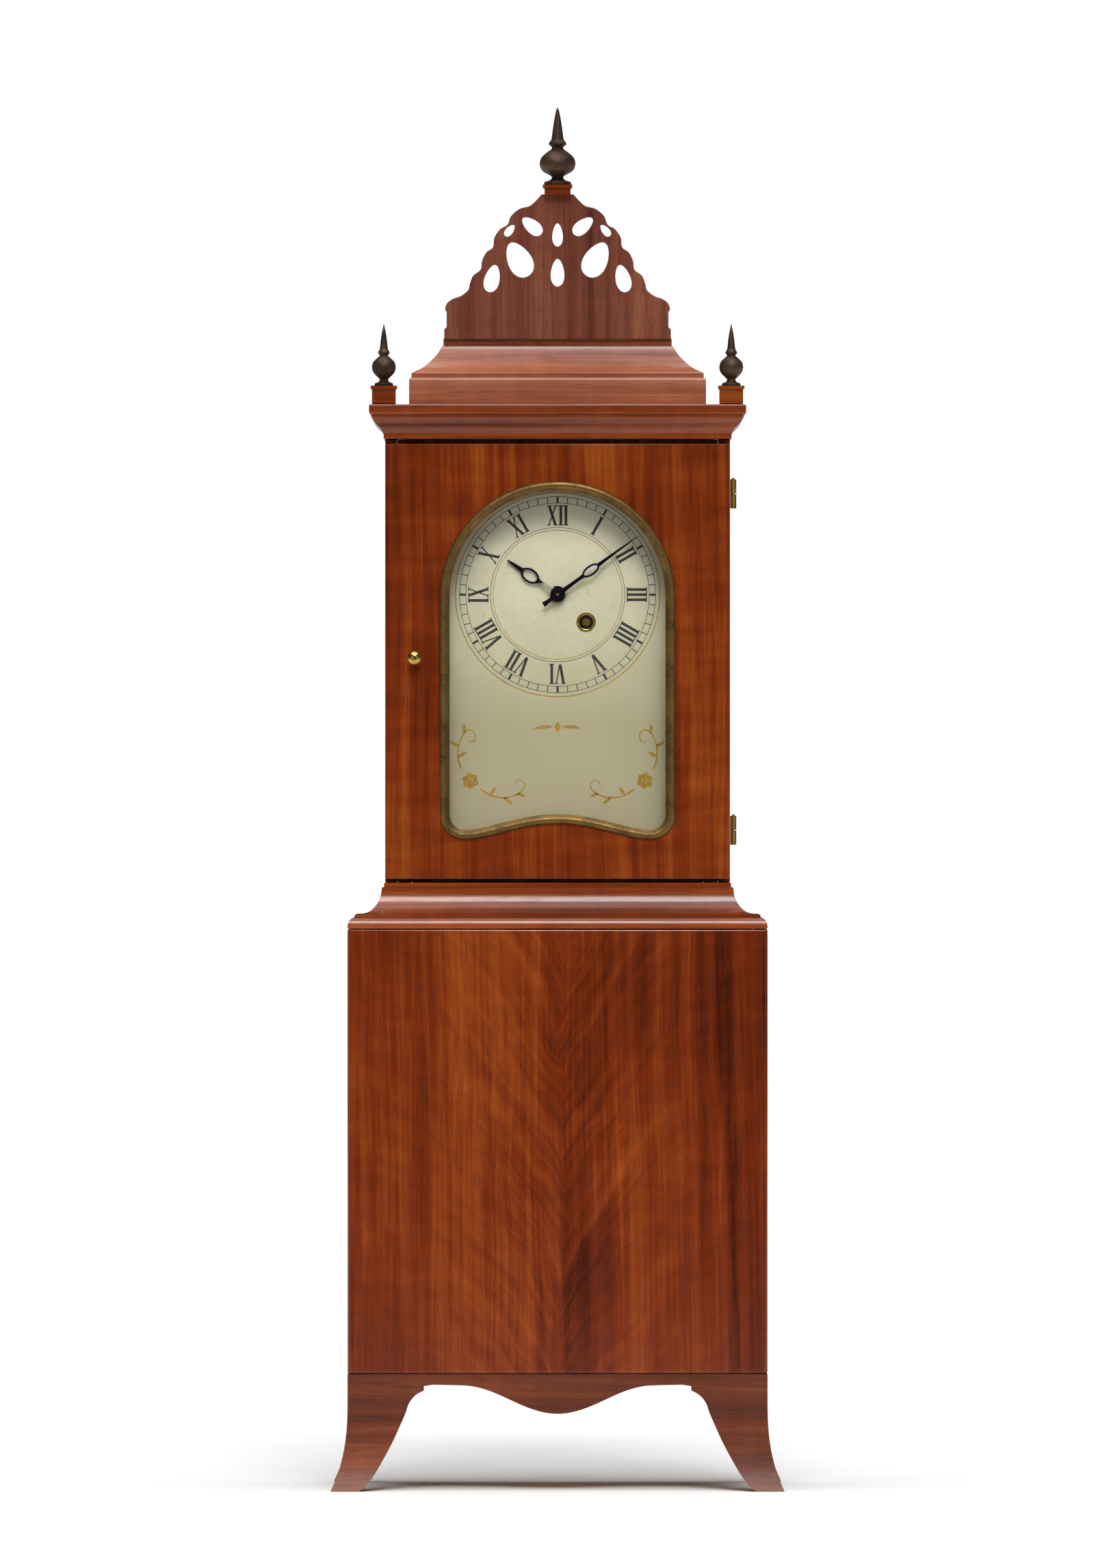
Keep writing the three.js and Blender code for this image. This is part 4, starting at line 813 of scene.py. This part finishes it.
sheet = plate("dial_painted", [dial_loop, circle(CX, CZ, 5.2), circle(19.6, 595.1, 5.0)], -31.6, -30.0, MAT["dial"], 0.15, 1)
done(sheet, "case", ["dial_plate"])
for i, (x, z) in enumerate([(-42, 572), (42, 572), (-42, 676), (42, 676)]):
    done(lathe(f"dial_foot_{i}", [(0, -30.0), (2.6, -30.0), (2.6, -12.3), (0, -12.3)], (x, z), MAT["brass"], 20, along="Y"), "case", ())
FACE = -31.6


class Flat:
    """Collects flat painted shapes that stand a hair off the dial."""

    def __init__(self):
        self.v, self.f = [], []

    def poly(self, pts, lift=0.05):
        n, b = len(pts), len(self.v)
        self.v += [P(x, FACE - lift, z) for x, z in pts] + [P(x, FACE - 0.001, z) for x, z in pts]
        self.f.append([b + i for i in range(n)])
        self.f.append([b + n + i for i in range(n)][::-1])
        for i in range(n):
            j = (i + 1) % n
            self.f.append([b + i, b + j, b + n + j, b + n + i])

    def ring(self, r, w, n=120, lift=0.04, cx=CX, cz=CZ):
        b = len(self.v)
        for rr, l in ((r + w / 2, lift), (r - w / 2, lift), (r - w / 2, 0.001), (r + w / 2, 0.001)):
            for i in range(n):
                a = 2 * math.pi * i / n
                self.v.append(P(cx + rr * math.cos(a), FACE - l, cz + rr * math.sin(a)))
        for k in range(4):
            for i in range(n):
                j = (i + 1) % n
                m = (k + 1) % 4
                self.f.append([b + k * n + i, b + k * n + j, b + m * n + j, b + m * n + i])

    def make(self, name, mat, body="case"):
        me = bpy.data.meshes.new(name)
        me.from_pydata([tuple(v) for v in self.v], [], self.f)
        me.validate()
        bm = bmesh.new()
        bm.from_mesh(me)
        bmesh.ops.recalc_face_normals(bm, faces=bm.faces)
        bm.to_mesh(me)
        bm.free()
        me.materials.append(mat)
        ob = bpy.data.objects.new(name, me)
        scene.collection.objects.link(ob)
        return done(ob, body, ())


def radial(u, v, ang, r):
    """Local (across, up) to the dial plane for a figure whose foot points to the centre; ang clockwise from twelve."""
    s, c = math.sin(ang), math.cos(ang)
    # outward direction (s, c), across direction (c, -s)
    return (CX + (r + v) * s + u * c, CZ + (r + v) * c - u * s)


def glyphs(text):
    """Strokes of a roman figure: lists of quads (u, v), and its width."""
    h, out, x = 6.6, [], 0.0
    thick, thin = 1.9, 0.85

    def bar(x0, v0, x1, v1, w):
        out.append([(x0 - w / 2, v0), (x0 + w / 2, v0), (x1 + w / 2, v1), (x1 - w / 2, v1)])

    def serif(x0, x1, v):
        s = 0.34
        out.append([(x0, v - s), (x1, v - s), (x1, v + s), (x0, v + s)])

    for ch in text:
        if ch == "I":
            x += 1.75
            bar(x, -h, x, h, thick)
            serif(x - 1.7, x + 1.7, h)
            serif(x - 1.7, x + 1.7, -h)
            x += 1.75
        elif ch == "V":
            bar(x + 1.6, h, x + 4.0, -h, thick)
            bar(x + 6.6, h, x + 4.3, -h, thin)
            serif(x, x + 3.2, h)
            serif(x + 5.2, x + 7.8, h)
            x += 8.0
        elif ch == "X":
            bar(x + 1.7, h, x + 6.1, -h, thick)
            bar(x + 6.2, h, x + 1.5, -h, thin)
            serif(x + 0.2, x + 3.3, h)
            serif(x + 4.9, x + 7.6, h)
            serif(x + 0.2, x + 2.9, -h)
            serif(x + 4.6, x + 7.8, -h)
            x += 8.0
    return [[(u - x / 2, v) for u, v in q] for q in out], x


black = Flat()
for i, name in enumerate(["XII", "I", "II", "III", "IIII", "V", "VI", "VII", "VIII", "IX", "X", "XI"]):
    quads, width = glyphs(name)
    k = min(1.0, 20.0 / width)
    for q in quads:
        black.poly([radial(u * k, v, 2 * math.pi * i / 12, 54.5) for u, v in q], 0.05 if len(q) else 0.05)
black.ring(46.2, 0.35)
black.ring(63.0, 0.35)
black.ring(67.4, 0.35)
for i in range(60):
    a = 2 * math.pi * i / 60
    w = 0.55 if i % 5 else 1.5
    black.poly([radial(-w / 2, -2.2, a, 65.2), radial(w / 2, -2.2, a, 65.2), radial(w / 2, 2.2, a, 65.2), radial(-w / 2, 2.2, a, 65.2)], 0.045)
black.make("dial_figures", MAT["ink"])

gold = Flat()
gold.ring(70.2, 0.7)
gold.ring(44.4, 0.45)


def leaf(cx, cz, length, width, deg, bend=0.0, n=12):
    t0 = math.radians(deg)
    left, right = [], []
    for i in range(n + 1):
        t = i / n
        a = t0 + bend * t
        x = cx + length * t * math.cos(t0 + bend * t / 2)
        z = cz + length * t * math.sin(t0 + bend * t / 2)
        w = width * math.sin(math.pi * min(1.0, t * 0.96 + 0.04)) ** 0.8 / 2 + 0.12
        left.append((x - w * math.sin(a), z + w * math.cos(a)))
        right.append((x + w * math.sin(a), z - w * math.cos(a)))
    return right + left[::-1]


def stem(pts, w0, w1, sg):
    """Tapering painted stroke along a smooth path."""
    path = smooth_path(pts, 6)
    n = len(path)
    for k in range(n - 1):
        (x0, z0), (x1, z1) = path[k], path[k + 1]
        L = math.hypot(x1 - x0, z1 - z0) or 1.0
        nx, nz = -(z1 - z0) / L, (x1 - x0) / L
        a, b = lerp(w0, w1, k / n) / 2, lerp(w0, w1, (k + 1) / n) / 2
        q = [(x0 + nx * a, z0 + nz * a), (x1 + nx * b, z1 + nz * b), (x1 - nx * b, z1 - nz * b), (x0 - nx * a, z0 - nz * a)]
        gold.poly([(sg * x, z) for x, z in (q if sg > 0 else q[::-1])], 0.04)


def mirror(pts, sg, lift=0.04):
    gold.poly([(sg * x, z) for x, z in (pts if sg > 0 else pts[::-1])], lift)


for sg in (-1, 1):
    fx, fz = 60.0, 486.0
    for k in range(6):
        a = math.radians(60 * k + 20)
        mirror(circle(fx + 3.7 * math.cos(a), fz + 3.7 * math.sin(a), 2.1, 14), sg)
    mirror(circle(fx, fz, 1.6, 16), sg, 0.07)
    stem([(66, 494), (68.5, 503), (67, 514), (61.5, 521), (56.5, 518.5), (57.5, 513), (61, 513.5)], 1.3, 0.5, sg)
    stem([(53, 480.5), (45, 475.5), (34, 474.5), (25, 478.5), (22.5, 484), (27, 486.5), (29.5, 483)], 1.3, 0.5, sg)
    for x, z, ln, deg in ((68.3, 502, 7, 140), (67.8, 510, 7, 20), (64, 519, 6, 80), (46, 476, 7, 115), (37, 474.4, 7, -150), (28, 477, 6, 190)):
        mirror(leaf(x, z, ln, 2.1, deg, 0.3), sg)
gold.poly([(0, 527), (2.4, 523), (0, 519), (-2.4, 523)][::-1], 0.04)
for sg in (-1, 1):
    pts = leaf(3.2, 523, 13, 2.2, 6, -0.4)
    gold.poly([(sg * x, z) for x, z in (pts if sg > 0 else pts[::-1])], 0.04)
gold.make("dial_gilt_sprays", MAT["gilt"])
collet = sweep_xz("dial_winding_collet", circle(19.6, 595.1, 5.4, 40), [(0.0, -31.62), (1.3, -31.62), (1.1, -32.0), (0.2, -32.15), (-0.35, -31.9)], MAT["brass"])
done(collet, "case", ())


def hand_piece(name, loops, deg, y0, y1, body, node):
    t = math.radians(deg)
    turned = [[(CX + x * math.cos(t) + z * math.sin(t), CZ - x * math.sin(t) + z * math.cos(t)) for x, z in lp] for lp in loops]
    ob = plate(name, turned, y0, y1, MAT["blue"], 0.22, 2)
    return done(ob, body, [node])


def hand_outline(boss, segs, tip, tail=None):
    """Right half of a hand as a smooth outline, mirrored."""
    right = segs
    return [(x, z) for x, z in right] + [(-x, z) for x, z in right[::-1]]


mr = smooth_path([(1.9, -12), (1.5, -9), (1.3, -5.4), (2.2, -4.2)], 4)
boss = [(4.2 * math.cos(a), 4.2 * math.sin(a)) for a in [math.radians(-62 + i * (62 + 66) / 14) for i in range(15)]]
mr2 = smooth_path([(1.7, 4.2), (1.35, 10), (1.2, 19.5), (1.5, 21.4)], 4)
loop_m = [(3.5 * math.sin(a) + 0.0, 28.2 - 6.9 * math.cos(a)) for a in [math.radians(18 + i * 144 / 16) for i in range(17)]]
mr3 = smooth_path([(1.4, 35.2), (1.1, 40), (0.85, 50), (0.35, 63.6), (0.05, 63.9)], 4)
half_m = mr + boss + mr2 + loop_m + mr3
hand_piece(
    "minute_hand_blued",
    [half_m + [(-x, z) for x, z in half_m[::-1]], circle(0, 0, 1.4, 20), [(2.1 * math.sin(a), 28.2 - 5.4 * math.cos(a)) for a in [2 * math.pi * i / 30 for i in range(30)]]],
    54, -36.9, -35.9, "centre_arbor", "minute_hand",
)
boss_h = [(6.0 * math.cos(a), 6.0 * math.sin(a)) for a in [math.radians(-90 + i * (90 + 68) / 20) for i in range(21)]]
hr2 = smooth_path([(1.9, 6.4), (1.55, 12), (1.6, 15.6), (2.2, 16.8)], 4)
loop_h = [(4.8 * math.sin(a), 23.0 - 6.9 * math.cos(a)) for a in [math.radians(22 + i * 136 / 16) for i in range(17)]]
hr3 = smooth_path([(1.7, 30.0), (1.35, 33), (0.9, 38), (0.4, 41.6), (0.05, 41.9)], 4)
half_h = boss_h + hr2 + loop_h + hr3
hand_piece(
    "hour_hand_blued",
    [half_h + [(-x, z) for x, z in half_h[::-1]], circle(0, 0, 4.5, 28), [(3.4 * math.sin(a), 23.0 - 5.4 * math.cos(a)) for a in [2 * math.pi * i / 30 for i in range(30)]]],
    -55.5, -33.9, -32.7, "hour_pipe", "hour_hand",
)

# ---------------------------------------------------------------- pendulum, weight, line
bob_z = PIVOT_Z - PEND_L
bp = [(0, 31), (6, 31.2), (12, 31.7), (18, 32.9), (23, 34.6), (27, 36.7), (30, 38.8), (32, 40.9), (32.4, 41.5), (32.4, 42.5), (32, 43.1), (30, 45.2), (27, 47.3),
      (23, 49.4), (18, 51.1), (12, 52.3), (6, 52.8), (0, 53)]
done(lathe("pendulum_bob_polished", bp, (0, bob_z), MAT["brass"], 72, along="Y"), "pendulum", ["pendulum_bob"])
wx, wy = 17.7, 2.0
wp = [(0, 98), (20, 98), (21, 98.4), (21.8, 99.4), (22, 101), (22, 110), (21.6, 110.6), (21.6, 111.4), (22, 112), (22, 226), (21.6, 226.6), (21.6, 227.4), (22, 228), (22, 235.4), (21.4, 237.4), (19.6, 239),
      (14, 240.2), (8, 241), (0, 241)]
done(lathe("weight_iron", wp, (wx, wy), MAT["iron"], 48), "drive_weight", ())
for i, yy in enumerate((wy - 6.2, wy + 4.6)):
    cheek = plate(f"weight_cheek_{i}", [[(wx - 4, 240.2), (wx + 4, 240.2), (wx + 4, 267), (wx + 2.6, 270.6), (wx - 2.6, 270.6), (wx - 4, 267)]], yy, yy + 1.6, MAT["steel"], 0.2, 1)
    done(cheek, "drive_weight", ["weight"] if i == 0 else ())
done(lathe("weight_pulley_pin", [(0, wy - 6.6 + 0.4), (1.3, wy - 6.2), (1.3, wy + 6.2), (0, wy + 6.2)], (wx, 268), MAT["steel"], 16, along="Y"), "drive_weight", ())
pp = [(1.8, wy - 3.6), (12.6, wy - 3.6), (13, wy - 3.3), (13, wy - 2.6), (11.4, wy - 1.2), (10.2, wy - 0.4), (10.2, wy + 0.4), (11.4, wy + 1.2), (13, wy + 2.6), (13, wy + 3.3), (12.6, wy + 3.6), (1.8, wy + 3.6), (1.8, wy - 3.6)]
done(lathe("weight_pulley_brass", pp, (wx, 268), MAT["brass"], 48, along="Y"), "pulley", ["weight_pulley"])

# the line: two upright runs (in the clock they shorten as the weight is wound up), and the half turn under the pulley
lx, rx, pr = wx - 11.0, wx + 11.0, 11.0


def strand(name, route):
    """Round line of gut along a route in (x, z)."""
    verts, faces, k = [], [], 10
    for i, (x, z) in enumerate(route):
        a, b = route[max(0, i - 1)], route[min(len(route) - 1, i + 1)]
        t = Vector((b[0] - a[0], b[1] - a[1])).normalized()
        for s in range(k):
            c = 2 * math.pi * s / k
            verts.append(P(x + 0.48 * math.sin(c) * -t.y, wy + 0.48 * math.cos(c), z + 0.48 * math.sin(c) * t.x))
    for i in range(len(route) - 1):
        for s in range(k):
            u = (s + 1) % k
            faces.append([i * k + s, i * k + u, (i + 1) * k + u, (i + 1) * k + s])
    faces.append(list(range(k)))
    faces.append([(len(route) - 1) * k + s for s in range(k)][::-1])
    return obj_from(name, verts, faces, MAT["gut"], sharp=60)


for name, x, top, nodes in (("gut_line_to_barrel", lx, 595.1, ["gut_line"]), ("gut_line_to_seat", rx, 547.0, ())):
    run = strand(name, [(x, 268 + (top - 268) * i / 46) for i in range(47)])
    done(run, "case", nodes)
    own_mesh(run)
turn = strand("gut_line_turn", [(wx + pr * math.cos(-math.pi * i / 24), 268 + pr * math.sin(-math.pi * i / 24)) for i in range(25)])
done(turn, "drive_weight", ())

# ---------------------------------------------------------------- the nodes that keep their own shape
LOOK = {
    "lower_side_left": ("side", 0.8), "lower_side_right": ("side", 0.8), "base_board": ("pine_x", 0.5), "backboard": ("pine", 0.5),
    "seat_board": ("pine_x", 0.5), "seat_bracket_left": ("pine", 0.6), "seat_bracket_right": ("pine", 0.6),
    "hood_side_left": ("side", 0.3), "hood_side_right": ("side", 0.3), "hood_top_board": ("mah_x", 0.4), "dial_mask": ("mah_z", 0.3),
    "crest_plinth": ("mah_x", 0.5), "corner_plinth_left": ("mah_x", 0.45), "corner_plinth_right": ("mah_x", 0.45),
    "hood_hinge_lower": ("brass", 0.15), "hood_hinge_upper": ("brass", 0.15), "door_leaf_lower": ("brass", 0.15), "door_leaf_upper": ("brass", 0.15),
    "front_plate": ("brass", 0.3), "back_plate": ("brass", 0.3), "centre_wheel": ("brass", 0), "great_wheel": ("brass", 0), "barrel": ("brass", 0),
    "third_wheel": ("brass", 0), "escape_wheel": ("brass", 0), "cannon_pinion": ("brass", 0), "minute_wheel": ("brass", 0), "hour_wheel": ("brass", 0),
    "pillar_lower_left": ("brass", 0), "pillar_lower_right": ("brass", 0), "pillar_upper_left": ("brass", 0), "pillar_upper_right": ("brass", 0),
    "suspension_cock": ("brass", 0.3), "suspension_spring": ("steel", 0), "pendulum_rod": ("steel", 0), "rating_nut": ("brass", 0.2),
    "click": ("steel", 0.15), "anchor": ("steel", 0.15),
}
for name, (mat, w) in LOOK.items():
    ob = NODES[name]
    ob.data.materials.clear()
    ob.data.materials.append(MAT[mat])
    weld = ob.modifiers.new("weld", "WELD")
    weld.merge_threshold = 2e-6
    if w:
        bevel(ob, w, 3 if w > 0.35 else 2, 40)

# ---------------------------------------------------------------- stage, light, camera
SKY, LEFT, RIGHT, KEY, AMBIENT = 2.5, 5.0, 5.0, 1.55, 0.05
def stage_mesh(name, verts, faces, mat):
    me = bpy.data.meshes.new(name)
    me.from_pydata(verts, [], faces)
    me.materials.append(mat)
    me.shade_smooth()
    ob = bpy.data.objects.new(name, me)
    scene.collection.objects.link(ob)
    return ob


def floor_material():
    m = Nodes("studio_floor")
    a, _ = m.noise(m.coords(scale=(3, 3, 3)), detail=3)
    col = m.ramp(a, [(0.3, (0.93, 0.93, 0.93)), (0.7, (0.95, 0.95, 0.95))])
    m.shader(col, 0.9, Specular_IOR_Level=0.1)
    return m.mat


vs, fs = [], []
NX, NY = 12, 20
for i in range(NX + 1):
    for k in range(NY + 1):
        vs.append((-9.0 + 18.0 * i / NX, -1.5 + 20.0 * k / NY, -0.0002))
for i in range(NX):
    for k in range(NY):
        a = i * (NY + 1) + k
        fs.append([a, a + NY + 1, a + NY + 2, a + 1])
floor = stage_mesh("studio_floor", vs, fs, floor_material())


def area(name, loc, target, size, power, color=(1, 1, 1), size_y=None):
    li = bpy.data.lights.new(name, "AREA")
    li.energy = power
    li.color = color
    li.shape = "RECTANGLE"
    li.size = size
    li.size_y = size_y or size
    ob = bpy.data.objects.new(name, li)
    scene.collection.objects.link(ob)
    ob.location = loc
    ob.rotation_mode = "QUATERNION"
    ob.rotation_quaternion = (Vector(target) - Vector(loc)).to_track_quat("-Z", "Y")
    return ob


def sun(name, energy, spread, tilt, turn=0.0):
    li = bpy.data.lights.new(name, "SUN")
    li.energy = energy
    li.angle = math.radians(spread)
    ob = bpy.data.objects.new(name, li)
    scene.collection.objects.link(ob)
    ob.rotation_euler = (math.radians(tilt), 0, math.radians(turn))
    return ob


sun("overhead_soft", SKY, 70, 10)
sun("front_key", KEY, 22, 45, 3)
area("left_soft", (-1.9, -3.0, 0.8), (0, 0, 0.5), 1.6, LEFT, size_y=1.6)
area("right_soft", (1.9, -3.0, 0.8), (0, 0, 0.5), 1.6, RIGHT, size_y=1.6)

world = bpy.data.worlds.new("studio_world")
world.use_nodes = True
wt = world.node_tree
bg = wt.nodes["Background"]
bg.inputs["Color"].default_value = (1, 1, 1, 1)
bg.inputs["Strength"].default_value = AMBIENT
white = wt.nodes.new("ShaderNodeBackground")
white.inputs["Color"].default_value = (1, 1, 1, 1)
white.inputs["Strength"].default_value = 1.05
ray = wt.nodes.new("ShaderNodeLightPath")
both = wt.nodes.new("ShaderNodeMixShader")


def world_math(op, a, b):
    n = wt.nodes.new("ShaderNodeMath")
    n.operation = op
    for sock, v in zip(n.inputs, (a, b)):
        if isinstance(v, (int, float)):
            sock.default_value = v
        else:
            wt.links.new(v, sock)
    return n.outputs[0]


# the backdrop is white seen directly, and seen through the pane
bounced = world_math("ADD", ray.outputs["Diffuse Depth"], ray.outputs["Glossy Depth"])
through = world_math("MULTIPLY", ray.outputs["Is Transmission Ray"], world_math("LESS_THAN", bounced, 0.5))
wt.links.new(world_math("MAXIMUM", ray.outputs["Is Camera Ray"], through), both.inputs[0])
wt.links.new(bg.outputs[0], both.inputs[1])
wt.links.new(white.outputs[0], both.inputs[2])
wt.links.new(both.outputs[0], wt.nodes["World Output"].inputs["Surface"])
scene.world = world
scene.view_settings.view_transform = "Standard"
scene.view_settings.look = "None"

# camera: long lens, level, a little below the middle of the clock
FW, FH = 1624, 2293
MM_PER_PX = 0.468
DIST = 10.0
cam_data = bpy.data.cameras.new("camera")
cam = bpy.data.objects.new("camera", cam_data)
scene.collection.objects.link(cam)
cam_data.sensor_fit = "VERTICAL"
cam_data.sensor_height = 36.0
front_y = (LOW_F + YS) * 0.001
view_h = FH * MM_PER_PX * 0.001
cam_data.lens = 36.0 * DIST / view_h
cam_z = 0.46
mid_z = (2180 - FH / 2) * MM_PER_PX * 0.001
mid_x = (FW / 2 - 815) * MM_PER_PX * 0.001
cam.location = (0.0, front_y - DIST, cam_z)
cam.rotation_euler = (math.pi / 2, 0, 0)
cam_data.shift_y = (mid_z - cam_z) / view_h
cam_data.shift_x = mid_x / view_h
cam_data.clip_start, cam_data.clip_end = 0.05, 50
scene.camera = cam
